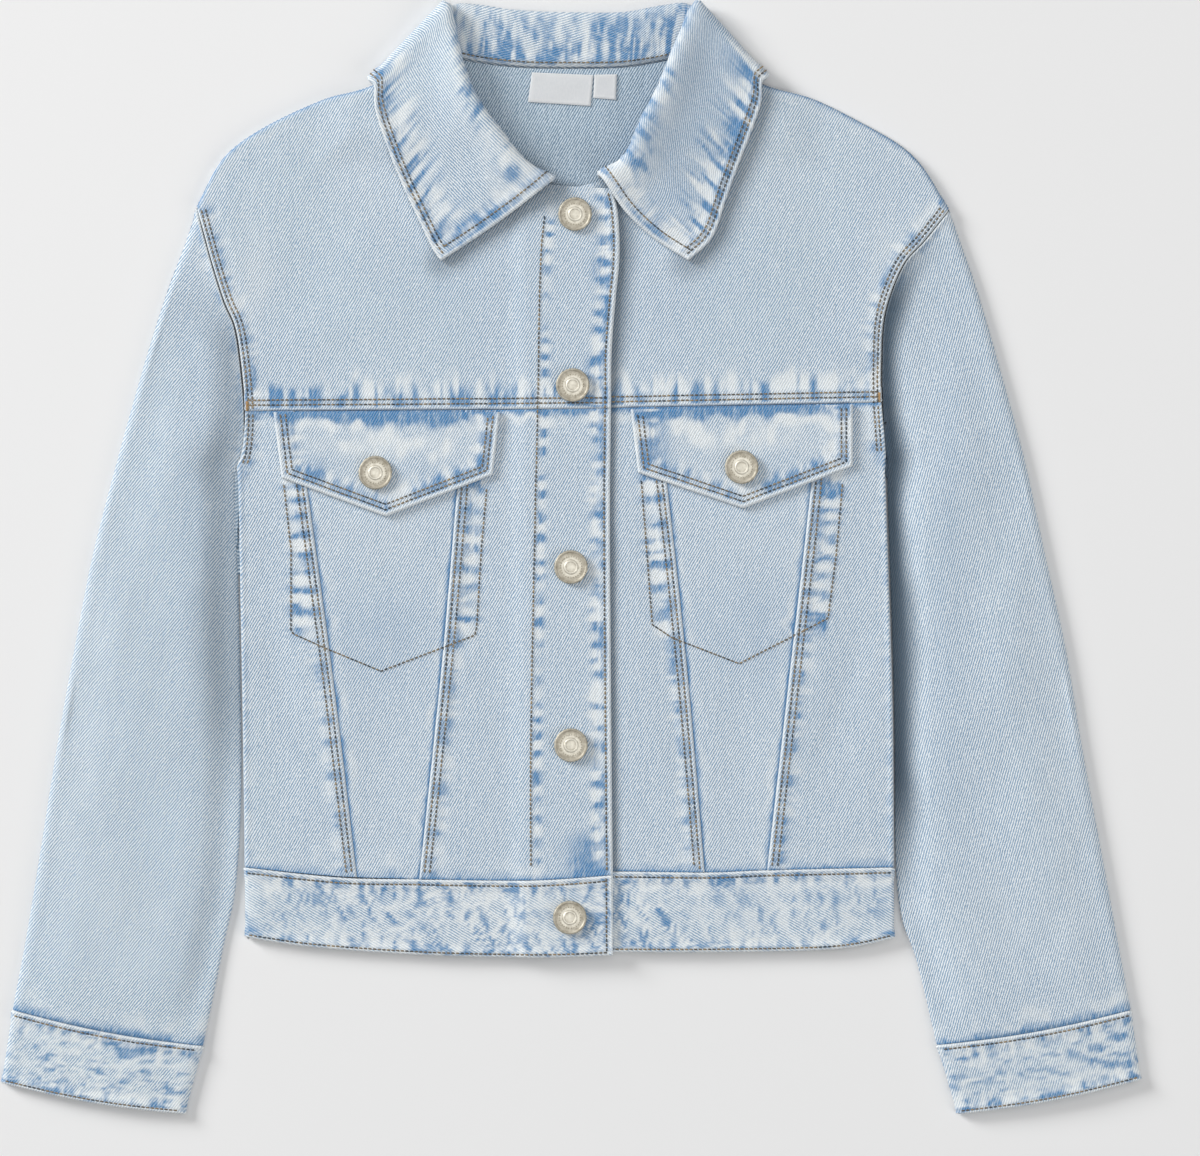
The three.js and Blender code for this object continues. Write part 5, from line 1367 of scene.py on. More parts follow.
def make_flaps():
    sizes = bpy.context.scene.jacket_sizes
    double, step = sizes.double / MM, sizes.grid / MM
    for side in SIDES:
        f, k = FLAP[side], (0 if side == "right" else 20)
        surface = body_surface(side, "front", sizes.cloth / MM + SEAM if side == "right" else 0.0)
        bottom = Line([f["side_outer"], f["tip"], f["side_inner"]])
        top = straight(f["top_outer"], f["top_inner"])
        grid = plan_grid(bottom, top, straight(f["side_outer"], f["top_outer"]),
                         straight(f["side_inner"], f["top_inner"]), graded(112, step), graded(36, step))
        edges = [Edge(flap_border(f), "fold", (3.4, 6.0), 0.8, 3.5, 1.9, 151 + k),
                 Edge(top, "under", (), 1.3, 7.5, 1.0, 153 + k)]
        x, y = f["button"]
        stain = (x - 46, y + 14, 8, 12, -1.0) if side == "left" else (x - 34, y + 2, 12, 8, -0.35)
        pale = faded([(x + 4, y + 14, 44, 6, 0.65), (x - 8, y - 4, 22, 10, 0.22), stain,
                      (x + 22, y - 2, 16, 8, -0.12)])
        panel(f"cloth_flap_{side}", grid, surface, edges, double,
              stand_off=SEAM, washes=[pale], nodes=[f"flap_{side}"])


# Collar


def front_height(p):
    """Height of the front under the collar, with the overlap."""
    lap = (1.3 + SEAM) * (1 - smooth(-p[:, 0], *LAP_FADE)) * (1 - smooth(p[:, 0], 25, 34))
    return TOP + neck_lift(p) + fold_height(p) + lap


def collar_section(row, foot_out, stand_share, crest_out, heights, rest_z, bow=0.0):
    """Points of the collar at one row: neck seam, stand, roll, crest, leaf and edge.

    The first four have their heights given, the leaf rests on what rest_z says.
    """
    seam, roll, edge = np.array(row[0:2]), np.array(row[2:4]), np.array(row[4:6])
    up = (roll - seam) / np.linalg.norm(roll - seam)
    out = (edge - roll) / np.linalg.norm(edge - roll)
    foot = seam + up * foot_out
    side = np.array([-out[1], out[0]]) * bow
    shares = (0.36, 0.66, 1)
    leaf = [lerp(roll, edge, share) + side * 4 * share * (1 - share) for share in shares]
    plans = [foot, lerp(foot, roll, stand_share), roll, roll + out * crest_out, *leaf]
    rests = [rest_z(plan, share) for plan, share in zip(leaf, shares)]
    return np.column_stack([plans, [*heights, *rests]])


def back_section(row, double):
    heights = (NECK_LIFT + 1.15, NECK_LIFT + 2.2, 3.1, double / 2 + 0.1)
    return collar_section(row, COLLAR_STANDOFF - 0.9, 0.6, 1.8, heights, lambda plan, share: double / 2)


def front_section(row, double, bow=0.0):
    roll_z = row[6]
    seat = float(front_height(np.array([row[0:2]]))[0]) - 0.65

    def rest(plan, share):
        low = float(front_height(np.array([plan]))[0]) + LEAF_CLEAR + double / 2
        return low + max(0.0, roll_z - low) * (1 - share) ** 2.4

    heights = (seat, lerp(seat, roll_z, 0.45), roll_z - 2.2, roll_z)
    return collar_section(row, COLLAR_STANDOFF, 0.72, 3.2, heights, rest, bow)


def turn_sections(row, first_roll, double):
    """The collar turns from under the yoke to over the front in half a circle at the shoulder."""
    below = back_section(row, double)
    above = front_section(tuple(row) + (first_roll - 1,), double)
    along = np.array(row[4:6]) - np.array(row[2:4])
    along /= np.linalg.norm(along)
    to_middle = np.array([-along[1], along[0]])
    if to_middle[0] * row[4] > 0:
        to_middle = -to_middle
    sections = []
    for degrees in (-90, -45, 0, 45, 90):
        a = math.radians(degrees)
        radius = (above[:, 2] - below[:, 2]) / 2
        inwards = np.minimum(radius, 4.2) * (1 - math.cos(a))
        share = (math.sin(a) + 1) / 2
        plan = lerp(below[:, :2], above[:, :2], share) + to_middle * inwards[:, None]
        sections.append(np.column_stack([plan, (above[:, 2] + below[:, 2]) / 2 + radius * math.sin(a)]))
    return sections


def through(points, t):
    """Places on a smooth line in space through points, paced by the roots of its spans."""
    p = np.vstack([2 * points[:1] - points[1:2], points, 2 * points[-1:] - points[-2:-1]])
    at = clamp(np.asarray(t)) * (len(points) - 1)
    k = np.minimum(at.astype(int), len(points) - 2)
    w = (at - k)[:, None]
    a, b, c, d = p[k], p[k + 1], p[k + 2], p[k + 3]
    gaps = [np.maximum(np.linalg.norm(v - u, axis=1), 1e-4)[:, None] ** 0.5
            for u, v in ((a, b), (b, c), (c, d))]
    leave = ((b - a) / gaps[0] - (c - a) / (gaps[0] + gaps[1]) + (c - b) / gaps[1]) * gaps[1]
    arrive = ((c - b) / gaps[1] - (d - b) / (gaps[1] + gaps[2]) + (d - c) / gaps[2]) * gaps[1]
    cubic, square = 2 * b - 2 * c + leave + arrive, 3 * c - 3 * b - 2 * leave - arrive
    return b + leave * w + square * w**2 + cubic * w**3


def even_places(points, shares):
    """Parameters at shares of the length of a smooth line through points, and that length."""
    fine = np.linspace(0, 1, 600)
    path = through(points, fine)
    length = np.append(0, np.cumsum(np.linalg.norm(np.diff(path, axis=0), axis=1)))
    return np.interp(np.asarray(shares) * length[-1], length, fine), length[-1]


def collar_grid(double, step):
    """Middle of the collar's cloth, as rows from neck seam to outer edge, and the length of that edge."""
    halves = {}
    for side in SIDES:
        rows = COLLAR_FRONT[side]
        bow = COLLAR_END_BOW[side] * (1 if side == "right" else -1)
        halves[side] = ([back_section(row, double) for row in COLLAR_BACK[side]]
                        + turn_sections(COLLAR_TURN[side], rows[0][6], double)
                        + [front_section(row, double, bow if row is rows[-1] else 0.0) for row in rows])
    sections = np.array(halves["right"][::-1] + [back_section(COLLAR_MIDDLE, double)] + halves["left"])
    outer_edge = sections[:, 6]
    along, length = even_places(outer_edge, np.linspace(0, 1, int(560 / step)))
    ends = np.array(EDGE_STEPS[1:]) / length
    start, stop = even_places(outer_edge, ends)[0], even_places(outer_edge, 1 - ends[::-1])[0]
    between = along[(along > start[-1]) & (along < stop[0])]
    along = np.concatenate([[0], start, between, stop, [1]])
    strands = [through(sections[:, k], along) for k in range(sections.shape[1])]
    rings = []
    for i in range(len(along)):
        knots = np.array([strand[i] for strand in strands])
        width = even_places(knots, (0, 1))[1]
        near = 1 - np.array(EDGE_STEPS[:-1])[::-1] / width
        shares = np.concatenate([np.linspace(0, near[0], int(66 / step) + 2)[:-1], near])
        rings.append(through(knots, even_places(knots, shares)[0]))
    return np.array(rings), length


def collar_marks(from_edge, seam_d, end_d, travelled, length):
    """Height, whitening and blue of the collar, from its distances to edges and along them."""
    anywhere = straight((0, 0), (1, 0))
    outer_edge = Edge(anywhere, "fold", (3.2, 5.8), 0.95, 9.0, 1.9, 161)
    front_end = Edge(anywhere, "fold", (5.4,), 0.55, 4.0, 2.0, 163)
    neck_edge = Edge(anywhere, "lap", (2.4,), 0.8, 7.0, 1.0, 165)
    d, t, up = from_edge.ravel(), travelled.ravel(), seam_d.ravel()
    height, wear, blue = np.zeros(d.size), np.zeros(d.size), np.zeros(d.size)
    for edge, away, along in ((outer_edge, d, t), (front_end, end_d[0].ravel(), d),
                              (front_end, end_d[1].ravel(), d), (neck_edge, up, t)):
        h, w, b = edge_relief(edge, away, along)
        height, wear, blue = height + h, np.maximum(wear, w), np.maximum(blue, b)
    # Rays of blue and white that fan in from the outer edge
    fans = 0.6 * noise(t / 3.0, d / 30, 171) + 0.6 * noise(t / 1.5, d / 20, 172)
    ends = np.minimum(end_d[0], end_d[1]).ravel()
    leaf = np.maximum(1 - smooth(d, 14, 34), 0.8 * (1 - smooth(ends, 8, 22)))
    blue = blue + 0.6 * leaf * clamp(2.0 * fans - 0.2) + 0.16 * smooth(t, 0.5 * length, 0.56 * length)
    wear = wear + 0.55 * leaf * clamp(-2.0 * fans - 0.2)
    wear = wear + 0.30 * bump(up, 27, 7) * clamp(0.6 + 1.2 * fans)
    # The stand twists as it was washed
    stand = 1 - smooth(up, 22, 30)
    twist = noise(t / 4.0, up / 9, 175) * 0.8 + noise(t / 2.1, up / 5, 176) * 0.5
    blue = blue + 0.8 * stand * clamp(1.7 * twist + 0.1)
    wear = wear + 0.55 * stand * clamp(-2.0 * twist - 0.2)
    return height + 0.22 * leaf * noise(t / 7, d / 20, 177), wear, blue


def make_collar():
    sizes = bpy.context.scene.jacket_sizes
    double, pitch = sizes.double / MM, sizes.stitch / MM
    rings, length = collar_grid(double, sizes.grid / MM)
    shape = rings.shape[:2]
    normal = np.cross(np.gradient(rings, axis=0), np.gradient(rings, axis=1))
    normal /= np.maximum(np.linalg.norm(normal, axis=2), 1e-9)[..., None]
    # Distances from the outer edge, the neck seam and both ends, and how far along the edge
    gaps = np.linalg.norm(np.diff(rings, axis=1), axis=2)
    to_edge = np.cumsum(gaps[:, ::-1], axis=1)[:, ::-1]
    from_edge = np.concatenate([to_edge, np.zeros((len(rings), 1))], axis=1)
    seam_d = from_edge[:, :1] - from_edge
    end_d = []
    for order in (rings, rings[::-1]):
        run = np.cumsum(np.linalg.norm(np.diff(order, axis=0), axis=2), axis=0)
        end_d.append(np.vstack([np.zeros((1, shape[1])), run]))
    end_d[1] = end_d[1][::-1]
    edge_steps = np.append(0, np.cumsum(np.linalg.norm(np.diff(rings[:, -1], axis=0), axis=1)))
    travelled = np.repeat(edge_steps[:, None], shape[1], axis=1)
    height, wear, blue = collar_marks(from_edge, seam_d, end_d, travelled, length)
    raised = rings + normal * (double / 2 + (height * sizes.relief).reshape(shape)[..., None])
    lower = rings - normal * double / 2
    raised[..., 2], lower[..., 2] = np.maximum(raised[..., 2], 0), np.maximum(lower[..., 2], 0)
    uv = turned(np.stack([travelled - edge_steps[-1] / 2, from_edge], -1), GRAIN["collar"])
    obj = wall("cloth_collar", raised, lower, wear, blue, uv, ("denim", "denim"))
    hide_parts("collar")
    stitches = collar_stitches(raised, normal, from_edge, end_d, pitch)
    stitches += run_stitches(*along_level(raised, normal, seam_d, 2.2, 0), pitch, 2.0)
    stitching("collar", stitches)
    GROUND["collar"] = (raised, normal)


def along_level(grid, normal, field, level, axis):
    """The line on a grid where a field reaches a level, walked across the other axis."""
    if axis == 1:
        grid, normal, field = grid.transpose(1, 0, 2), normal.transpose(1, 0, 2), field.T
    points, ups = [], []
    for row, up, value in zip(grid, normal, field):
        order = np.argsort(value)
        if not value[order[0]] <= level <= value[order[-1]]:
            continue
        points.append([np.interp(level, value[order], row[order, k]) for k in range(3)])
        ups.append([np.interp(level, value[order], up[order, k]) for k in range(3)])
    return np.array(points), np.array(ups)


def collar_stitches(grid, normal, from_edge, end_d, pitch):
    """Two rows beside the outer edge and one beside each front end."""
    half = len(grid) // 2
    made = []
    for level, margin in ((3.2, 3.0), (5.8, 5.4)):
        made += run_stitches(*along_level(grid, normal, from_edge, level, 0), pitch, margin)
    for part, field in ((slice(0, half), end_d[0][:half]), (slice(half, None), end_d[1][half:])):
        points, ups = along_level(grid[part], normal[part], field, 5.4, 1)
        made += run_stitches(points, ups, pitch, 4.0)
    return made


def run_stitches(points, ups, pitch, margin):
    """Stitches along a line in space, whose upward directions are given."""
    steps = np.append(0, np.cumsum(np.linalg.norm(np.diff(points, axis=0), axis=1)))
    count = int((steps[-1] - 2 * margin) / pitch)
    at = margin + pitch * (np.arange(count) + 0.5)

    def read(values, where):
        return np.stack([np.interp(where, steps, values[:, k]) for k in range(3)], 1)

    middle, up = read(points, at), read(ups, at)
    way = read(points, at + 0.8) - read(points, at - 0.8)
    up /= np.maximum(np.linalg.norm(up, axis=1), 1e-9)[:, None]
    way /= np.maximum(np.linalg.norm(way, axis=1), 1e-9)[:, None]
    return [(m + u * STITCH_LIFT, w, u) for m, w, u in zip(middle, way, up)]


# Trim
TACK_LENGTH = 5.5


def make_tacks():
    """Short bars of close thread across the ends of the yoke seam."""
    stitches = []
    for x, y, side in ((-168.3, 78.6, "right"), (160.2, 83.2, "left")):
        seat = GROUND[f"cloth_front_yoke_{side}"]
        for step in np.arange(-TACK_LENGTH / 2, TACK_LENGTH / 2, 0.42):
            found = seat(x, y + step)
            if found is not None:
                place, up = found
                stitches.append((place + up * 0.15, np.array([-1.0, 0.0, 0.0]), up))
    thread_mesh("bartacks", stitches, 0.95, 0.26, "tack")


def fibre_rows():
    """Edges that are frayed, as (place, way out, way up, amount)."""
    rows = []
    grid, normal = GROUND["collar"]
    for i in range(len(grid)):
        if grid[i, -1, 2] > 4:
            rows.append((grid[i, -1], grid[i, -1] - grid[i, -3], normal[i, -1], 1.0))
    for end, within in ((0, 2), (-1, -3)):
        for j in range(grid.shape[1] // 2, grid.shape[1]):
            rows.append((grid[end, j], grid[end, j] - grid[within, j], normal[end, j], 0.8))
    down, up = np.array([0.0, -1.0, 0.0]), np.array([0.0, 0.0, 1.0])
    for side in SIDES:
        seat, centre = GROUND[f"cloth_flap_{side}"], np.array(FLAP[side]["button"])
        both = [offset_line(flap_border(FLAP[side]).points, 0.4 * sign) for sign in (1, -1)]
        inside = min(both, key=lambda points: np.linalg.norm(points - centre, axis=1).sum())
        for (x, y), way in zip(*stitch_places(inside, 1.1)):
            found = seat(x, y)
            if found is not None:
                away = np.array([way[1], -way[0], 0.0])
                if np.dot(away[:2], (x - centre[0], y - centre[1])) < 0:
                    away = -away
                rows.append((found[0], away, found[1], 0.5))
        for x, y in curve(HEM[side])(np.linspace(0.02, 0.98, 150)):
            rows.append((np.array([x, y, 3.2]), down, up, 0.45))
    return rows


def make_fray():
    """Loose white fibres that stand out of the worn edges."""
    random = np.random.default_rng(7)
    vertices, faces = [], []
    for place, out, up, amount in fibre_rows():
        for _ in range(2):
            if random.random() > 0.62 * amount:
                continue
            way = out / max(np.linalg.norm(out), 1e-9)
            side = np.cross(way, up)
            lean = random.normal(0, 0.75)
            way = way + side * lean + up * random.normal(-0.1, 0.25)
            way /= np.linalg.norm(way)
            length = (0.5 + 1.3 * random.random() ** 2) * (0.6 + 0.5 * amount)
            thick = 0.07 + 0.05 * random.random()
            bend = side * random.normal(0, 0.25) * length
            base = len(vertices)
            start = place - way * 0.35 + side * random.normal(0, 0.4)
            for share, radius in ((0.0, thick), (0.55, 0.8 * thick), (1.0, 0.3 * thick)):
                middle = start + way * (length + 0.35) * share + bend * share**2
                for k in range(3):
                    a = 2 * math.pi * k / 3
                    vertices.append(middle + radius * (side * math.cos(a) + up * math.sin(a)))
            for r in range(2):
                for k in range(3):
                    a, b = base + 3 * r + k, base + 3 * r + (k + 1) % 3
                    faces += [(a, b, b + 3), (a, b + 3, a + 3)]
            faces += [(base + 2, base + 1, base), (base + 6, base + 7, base + 8)]
    v, f = np.array(vertices), np.array(faces)
    v[:, 2] = np.maximum(v[:, 2], 0.05)
    if signed_volume(v, f) < 0:
        f = f[:, ::-1]
    obj = new_object("frayed_edges", mesh_of("frayed_edges", v, f), [MATERIALS["fray"]])


def make_trim():
    make_tacks()
    make_fray()


# Buttons. Each step is the radius, the height above the seat and how tarnished it is
BUTTON_STEPS = [
    (5.4, 0.0, 0.9), (5.6, 0.6, 0.9), (8.15, 0.75, 0.5), (8.6, 1.15, 0.2), (8.75, 1.75, 0.0),
    (8.6, 2.3, 0.0), (8.2, 2.65, 0.0), (7.75, 2.62, 0.25), (7.45, 2.32, 0.9), (7.1, 2.22, 0.7),
    (6.4, 2.25, 0.2), (4.2, 2.28, 0.2), (3.75, 2.3, 0.9), (3.5, 2.42, 0.3), (3.2, 2.62, 0.0),
    (2.9, 2.6, 0.1), (2.65, 2.42, 0.8), (2.3, 2.4, 0.5), (1.2, 2.44, 0.3), (0.5, 2.46, 0.3),
]
DOT_COUNT = 26
# How far each button is turned, in degrees
BUTTON_TURNS = (12, 47, 5, 31, 70, 23, 58)


def button_head():
    """One button at the origin: a disc drawn up and inwards into its rims, with a ring of dots."""
    deselect()
    first = BUTTON_STEPS[0]
    bpy.ops.mesh.primitive_circle_add(vertices=56, radius=first[0] * MM, fill_type="NGON")
    head = bpy.context.object
    bpy.ops.object.mode_set(mode="EDIT")
    bpy.ops.mesh.select_all(action="SELECT")
    for (r0, z0, _), (r1, z1, _) in zip(BUTTON_STEPS, BUTTON_STEPS[1:]):
        bpy.ops.mesh.extrude_region_move(TRANSFORM_OT_translate={"value": (0, 0, (z1 - z0) * MM)})
        bpy.ops.transform.resize(value=(r1 / r0, r1 / r0, 1), center_override=(0, 0, z1 * MM))
    bpy.ops.mesh.poke(offset=0)
    bpy.ops.mesh.select_all(action="SELECT")
    bpy.ops.mesh.normals_make_consistent(inside=False)
    bpy.ops.object.mode_set(mode="OBJECT")
    bpy.ops.object.shade_smooth()
    # A dot, copied round between the two rims
    deselect()
    bpy.ops.mesh.primitive_circle_add(vertices=8, radius=0.46 * MM, fill_type="NGON",
                                      location=(5.5 * MM, 0, 2.2 * MM))
    dot = bpy.context.object
    bpy.ops.object.mode_set(mode="EDIT")
    bpy.ops.mesh.select_all(action="SELECT")
    for lift, scale in ((0.12, 0.92), (0.1, 0.72), (0.04, 0.4)):
        bpy.ops.mesh.extrude_region_move(TRANSFORM_OT_translate={"value": (0, 0, lift * MM)})
        bpy.ops.transform.resize(value=(scale, scale, 1))
    bpy.ops.mesh.select_all(action="SELECT")
    bpy.ops.mesh.normals_make_consistent(inside=False)
    bpy.ops.object.mode_set(mode="OBJECT")
    bpy.ops.object.transform_apply(location=True, rotation=True, scale=True)
    bpy.ops.object.shade_smooth()
    dots = [dot]
    for k in range(1, DOT_COUNT):
        copy = dot.copy()
        copy.data = dot.data.copy()
        bpy.context.scene.collection.objects.link(copy)
        copy.rotation_euler.z = 2 * math.pi * k / DOT_COUNT
        dots.append(copy)
    deselect()
    for obj in dots + [head]:
        obj.select_set(True)
    bpy.context.view_layer.objects.active = head
    bpy.ops.object.transform_apply(location=True, rotation=True, scale=True)
    bpy.ops.object.join()
    head.name = "button_pattern"
    layer = head.data.attributes.new("hollow", "FLOAT", "POINT")
    steps = np.array(BUTTON_STEPS)[::-1]
    values = []
    for vertex in head.data.vertices:
        r, z = math.hypot(vertex.co.x, vertex.co.y) / MM, vertex.co.z / MM
        if z > 2.32 and 4.6 < r < 6.2:
            values.append(0.95)  # a dot
        else:
            values.append(float(np.interp(r, steps[:, 0], steps[:, 2])) if z > 1 else 0.8)
    layer.data.foreach_set("value", values)
    return head


def make_buttons():
    pattern = button_head()
    pattern.data.materials.append(MATERIALS["metal"])
    places = [(f"button_{i + 1}", xy) for i, xy in enumerate(FRONT_BUTTONS)]
    places += [(f"flap_button_{side}", FLAP[side]["button"]) for side in SIDES]
    for (node, (x, y)), turn in zip(places, BUTTON_TURNS):
        seat_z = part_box(node)[0][2]
        mesh = pattern.data.copy()
        mesh.name = f"metal_{node}"
        a = math.radians(turn)
        tilt = 0.012 * math.sin(turn)
        for vertex in mesh.vertices:
            px, py, pz = vertex.co
            rx, ry = px * math.cos(a) - py * math.sin(a), px * math.sin(a) + py * math.cos(a)
            vertex.co = (x * MM + rx, y * MM + ry, seat_z + pz + tilt * rx)
        obj = bpy.data.objects.new(f"metal_{node}", mesh)
        bpy.context.scene.collection.objects.link(obj)
        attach(obj, "root")
        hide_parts(node)
    bpy.data.objects.remove(pattern)


def make_labels():
    for name, (a, b, c, d) in LABELS.items():
        us, vs = graded(34 if name == "label_main" else 12, 1.2), graded(16, 1.2)
        grid = plan_grid(straight(d, c), straight(a, b), straight(d, a), straight(c, b), us, vs)
        shape = grid.shape[:2] + (3,)
        p = grid.reshape(-1, 2)
        near = Near(Line([a, b, c, d, a]).points, p)
        rest = neck_lift(p) + 1.3 + SEAM
        fold = 0.35 * (1 - smooth(near.d, 0, 0.8))
        swell = 0.18 * noise(p[:, 0] / 9, p[:, 1] / 6, 181) * smooth(near.d, 0.5, 4)
        outer = np.column_stack([p, rest + 0.85 + swell - fold]).reshape(shape)
        inner = np.column_stack([p, rest]).reshape(shape)
        wear = 0.5 * bump(near.d, 1.5, 0.5) + 0.8 * (1 - smooth(near.d, 0, 0.5))
        obj = wall(f"woven_{name}", outer, inner, wear, np.zeros(len(p)), grid, ("label", "label"))
        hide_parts(name)


def make_stage():
    s = bpy.context.scene.jacket_stage
    scene = bpy.context.scene
    deselect()
    bpy.ops.mesh.primitive_plane_add(size=7.0, location=(0, 0, -0.0004))
    floor = bpy.context.object
    floor.name = "floor"
    bpy.ops.object.mode_set(mode="EDIT")
    bpy.ops.mesh.select_all(action="SELECT")
    bpy.ops.mesh.subdivide(number_cuts=3)
    bpy.ops.object.mode_set(mode="OBJECT")
    bpy.ops.object.transform_apply(location=True, rotation=True, scale=True)
    floor.data.materials.append(paper("pale_table", s.floor, s.floor_shade))
    floor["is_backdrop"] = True
    for name, place, size, power in (
        ("key", (-4.2, 2.6, 2.3), (2.0, 2.0), s.key),
        ("top", (0.2, 0.6, 5.0), (5.0, 5.0), s.fill),
        ("side", (3.5, -2.2, 2.6), (3.0, 3.0), s.side),
    ):
        data = bpy.data.lights.new(name, "AREA")
        data.shape = "RECTANGLE"
        data.size, data.size_y, data.energy = size[0], size[1], power
        light = bpy.data.objects.new(name, data)
        light.location = place
        light.rotation_euler = (-Vector(place)).to_track_quat("-Z", "Y").to_euler()
        scene.collection.objects.link(light)
    world = bpy.data.worlds.new("studio")
    world.use_nodes = True
    world.node_tree.nodes["Background"].inputs["Color"].default_value = (1.0, 1.0, 1.0, 1)
    world.node_tree.nodes["Background"].inputs["Strength"].default_value = s.ambient
    scene.world = world
    scene.view_settings.view_transform = "Standard"
    # A long lens that looks straight down and takes in the photograph's frame
    camera = bpy.data.cameras.new("camera")
    camera.lens = s.lens
    camera.sensor_width = SENSOR
    scale = PIXEL * MM
    eye = bpy.data.objects.new("camera", camera)
    eye.location = ((PHOTO_MIDDLE[0] - ORIGIN_PIXEL[0]) * scale, (ORIGIN_PIXEL[1] - PHOTO_MIDDLE[1]) * scale,
                    PHOTO_WIDTH * scale * s.lens / SENSOR + 0.004)
    camera.clip_end = 20
    scene.collection.objects.link(eye)
    scene.camera = eye


# Settings


def distance(label, text, default, low, high):
    return FloatProperty(name=label, description=text, default=default, min=low, max=high, precision=5,
                         subtype="DISTANCE", unit="LENGTH")


class JacketSizes(bpy.types.PropertyGroup):
    """Sizes of the cloth and its sewing"""

    cloth: distance("Cloth thickness", "One layer of denim", 0.0013, 0.0008, 0.002)
    double: distance("Double thickness", "Collar, flaps, cuffs and waistband", 0.002, 0.0015, 0.003)
    grid: distance("Front mesh", "Size of a face on the front", 0.0016, 0.001, 0.006)
    back_grid: distance("Back mesh", "Size of a face on the back", 0.0042, 0.001, 0.008)
    relief: FloatProperty(name="Seam relief", description="How strongly seams and puckers stand out",
                          default=1.0, min=0.0, max=1.6, subtype="FACTOR")
    stitch: distance("Stitch", "Length from one stitch to the next", 0.0024, 0.0015, 0.005)
    thread: distance("Thread", "Thickness of the topstitch thread", 0.00085, 0.0002, 0.001)


def colour(label, text, red, green, blue):
    return FloatVectorProperty(name=label, description=text, default=linear(red, green, blue), size=3,
                               min=0, max=1, subtype="COLOR")


class JacketColours(bpy.types.PropertyGroup):
    """Colours of the washed cloth, its thread and its metal"""

    pale: colour("Pale denim", "Washed weft and worn warp", 232, 238, 242)
    deep: colour("Deep denim", "Warp where it kept its blue", 138, 165, 190)
    indigo: colour("Indigo", "Blue that stayed beside the seams", 34, 116, 172)
    worn: colour("Worn white", "Cloth worn white on its edges", 240, 243, 242)
    # Colour of the painted shade beside the body, beside the collar's ends and beside the front edge
    dusk: colour("Dusk", "Unwashed cloth deep in the fold beside the body", 66, 84, 100)
    reverse_pale: colour("Reverse, pale", "Weft side of the twill", 206, 219, 229)
    reverse_deep: colour("Reverse, deep", "Warp that shows through", 118, 143, 165)
    thread_pale: colour("Thread, pale", "Tan topstitch thread", 158, 140, 112)
    thread_dark: colour("Thread, dark", "Thread that took the indigo", 68, 76, 82)
    tack: colour("Bartack", "Orange bars at the seam ends", 206, 160, 104)
    metal: colour("Nickel", "Bright metal", 246, 241, 226)
    metal_dark: colour("Tarnish", "Metal in the hollows", 146, 137, 118)
    label: colour("Label", "Woven label", 240, 241, 242)
    label_shade: colour("Label shade", "Shade between its threads", 206, 212, 217)


def power(label, text, default):
    return FloatProperty(name=label, description=text, default=default, min=0, subtype="POWER", unit="POWER")


class JacketStage(bpy.types.PropertyGroup):
    """Table, lights and camera"""

    floor: colour("Table", "Pale table", 236, 236, 236)
    floor_shade: colour("Table shade", "Its faint clouds", 232, 232, 232)
    key: power("Key light", "Soft light from the upper left", 278.0)
    fill: power("Top light", "Large soft light above", 80.0)
    side: power("Side light", "Weak light from the lower right", 68.0)
    ambient: FloatProperty(name="Ambient", description="Light of the room", default=0.22, min=0, max=2)
    lens: FloatProperty(name="Lens", description="Focal length, in millimetres", default=200.0,
                        min=50, max=400)


# Operators


class JACKET_OT_materials(bpy.types.Operator):
    """Make the denim, thread, nickel and label materials"""

    bl_idname = "jacket.materials"
    bl_label = "Materials"

    def execute(self, context):
        make_materials()
        return {"FINISHED"}


class JACKET_OT_fronts(bpy.types.Operator):
    """Make both yokes and the six lower front panels, with their stitching"""

    bl_idname = "jacket.fronts"
    bl_label = "Fronts"

    def execute(self, context):
        make_fronts()
        return {"FINISHED"}


class JACKET_OT_back(bpy.types.Operator):
    """Make the back yoke and the back body"""

    bl_idname = "jacket.back"
    bl_label = "Back"

    def execute(self, context):
        make_back()
        return {"FINISHED"}


class JACKET_OT_sleeves(bpy.types.Operator):
    """Make both sleeves and their cuffs"""

    bl_idname = "jacket.sleeves"
    bl_label = "Sleeves"

    def execute(self, context):
        make_sleeves()
        return {"FINISHED"}


class JACKET_OT_waistband(bpy.types.Operator):
    """Make the waistband as one strip round the hem"""

    bl_idname = "jacket.waistband"
    bl_label = "Waistband"

    def execute(self, context):
        make_waistband()
        return {"FINISHED"}


class JACKET_OT_flaps(bpy.types.Operator):
    """Make both pocket flaps"""

    bl_idname = "jacket.flaps"
    bl_label = "Flaps"

    def execute(self, context):
        make_flaps()
        return {"FINISHED"}


class JACKET_OT_collar(bpy.types.Operator):
    """Make the collar that rolls over at the neck"""

    bl_idname = "jacket.collar"
    bl_label = "Collar"

    def execute(self, context):
        make_collar()
        return {"FINISHED"}


class JACKET_OT_trim(bpy.types.Operator):
    """Make the bartacks and the frayed edges"""

    bl_idname = "jacket.trim"
    bl_label = "Trim"

    def execute(self, context):
        make_trim()
        return {"FINISHED"}


class JACKET_OT_buttons(bpy.types.Operator):
    """Model one button and copy it to all seven places"""

    bl_idname = "jacket.buttons"
    bl_label = "Buttons"

    def execute(self, context):
        make_buttons()
        return {"FINISHED"}


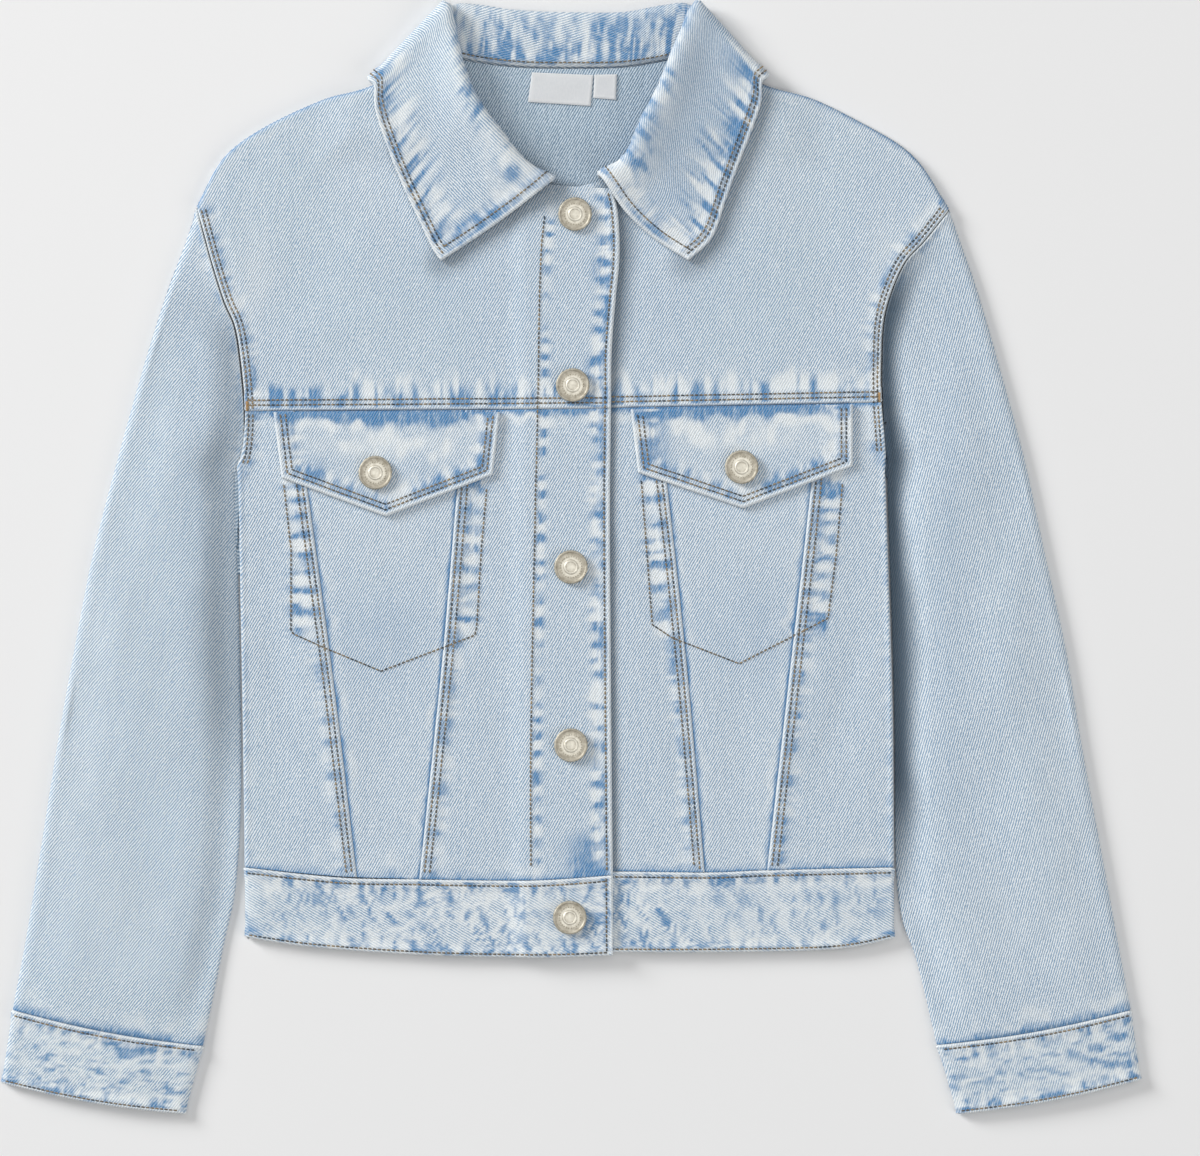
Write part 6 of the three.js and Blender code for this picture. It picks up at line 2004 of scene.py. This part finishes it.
class JACKET_OT_labels(bpy.types.Operator):
    """Make the bare neck label and size tab"""

    bl_idname = "jacket.labels"
    bl_label = "Labels"

    def execute(self, context):
        make_labels()
        return {"FINISHED"}


class JACKET_OT_stage(bpy.types.Operator):
    """Make the table, lights and camera"""

    bl_idname = "jacket.stage"
    bl_label = "Stage"

    def execute(self, context):
        make_stage()
        return {"FINISHED"}


STEPS = (JACKET_OT_materials, JACKET_OT_fronts, JACKET_OT_back, JACKET_OT_sleeves,
         JACKET_OT_waistband, JACKET_OT_flaps, JACKET_OT_collar, JACKET_OT_trim,
         JACKET_OT_buttons, JACKET_OT_labels, JACKET_OT_stage)


class JACKET_PT_sidebar(bpy.types.Panel):
    """Steps and sizes of the jacket"""

    bl_idname = "JACKET_PT_sidebar"
    bl_label = "Denim Jacket"
    bl_space_type = "VIEW_3D"
    bl_region_type = "UI"
    bl_category = "Jacket"

    def draw(self, context):
        for step in STEPS:
            self.layout.operator(step.bl_idname)
        for key in SETTINGS:
            group = getattr(context.scene, key)
            box = self.layout.box()
            for name in group.bl_rna.properties.keys():
                if name not in ("rna_type", "name"):
                    box.prop(group, name)


SETTINGS = {"jacket_sizes": JacketSizes, "jacket_colours": JacketColours, "jacket_stage": JacketStage}


def register():
    for key, group in SETTINGS.items():
        bpy.utils.register_class(group)
        setattr(bpy.types.Scene, key, PointerProperty(type=group))
    for step in STEPS:
        bpy.utils.register_class(step)
    bpy.utils.register_class(JACKET_PT_sidebar)


def unregister():
    bpy.utils.unregister_class(JACKET_PT_sidebar)
    for step in reversed(STEPS):
        bpy.utils.unregister_class(step)
    for key, group in SETTINGS.items():
        delattr(bpy.types.Scene, key)
        bpy.utils.unregister_class(group)


def corners(box):
    return [[float(value) for value in corner] for corner in box]


def main():
    solid = corners(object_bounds())
    register()
    for step in STEPS:
        group, name = step.bl_idname.split(".")
        getattr(getattr(bpy.ops, group), name)()
    {"cad": solid, "visual": corners(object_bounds())}


if __name__ == "__main__":
    main()
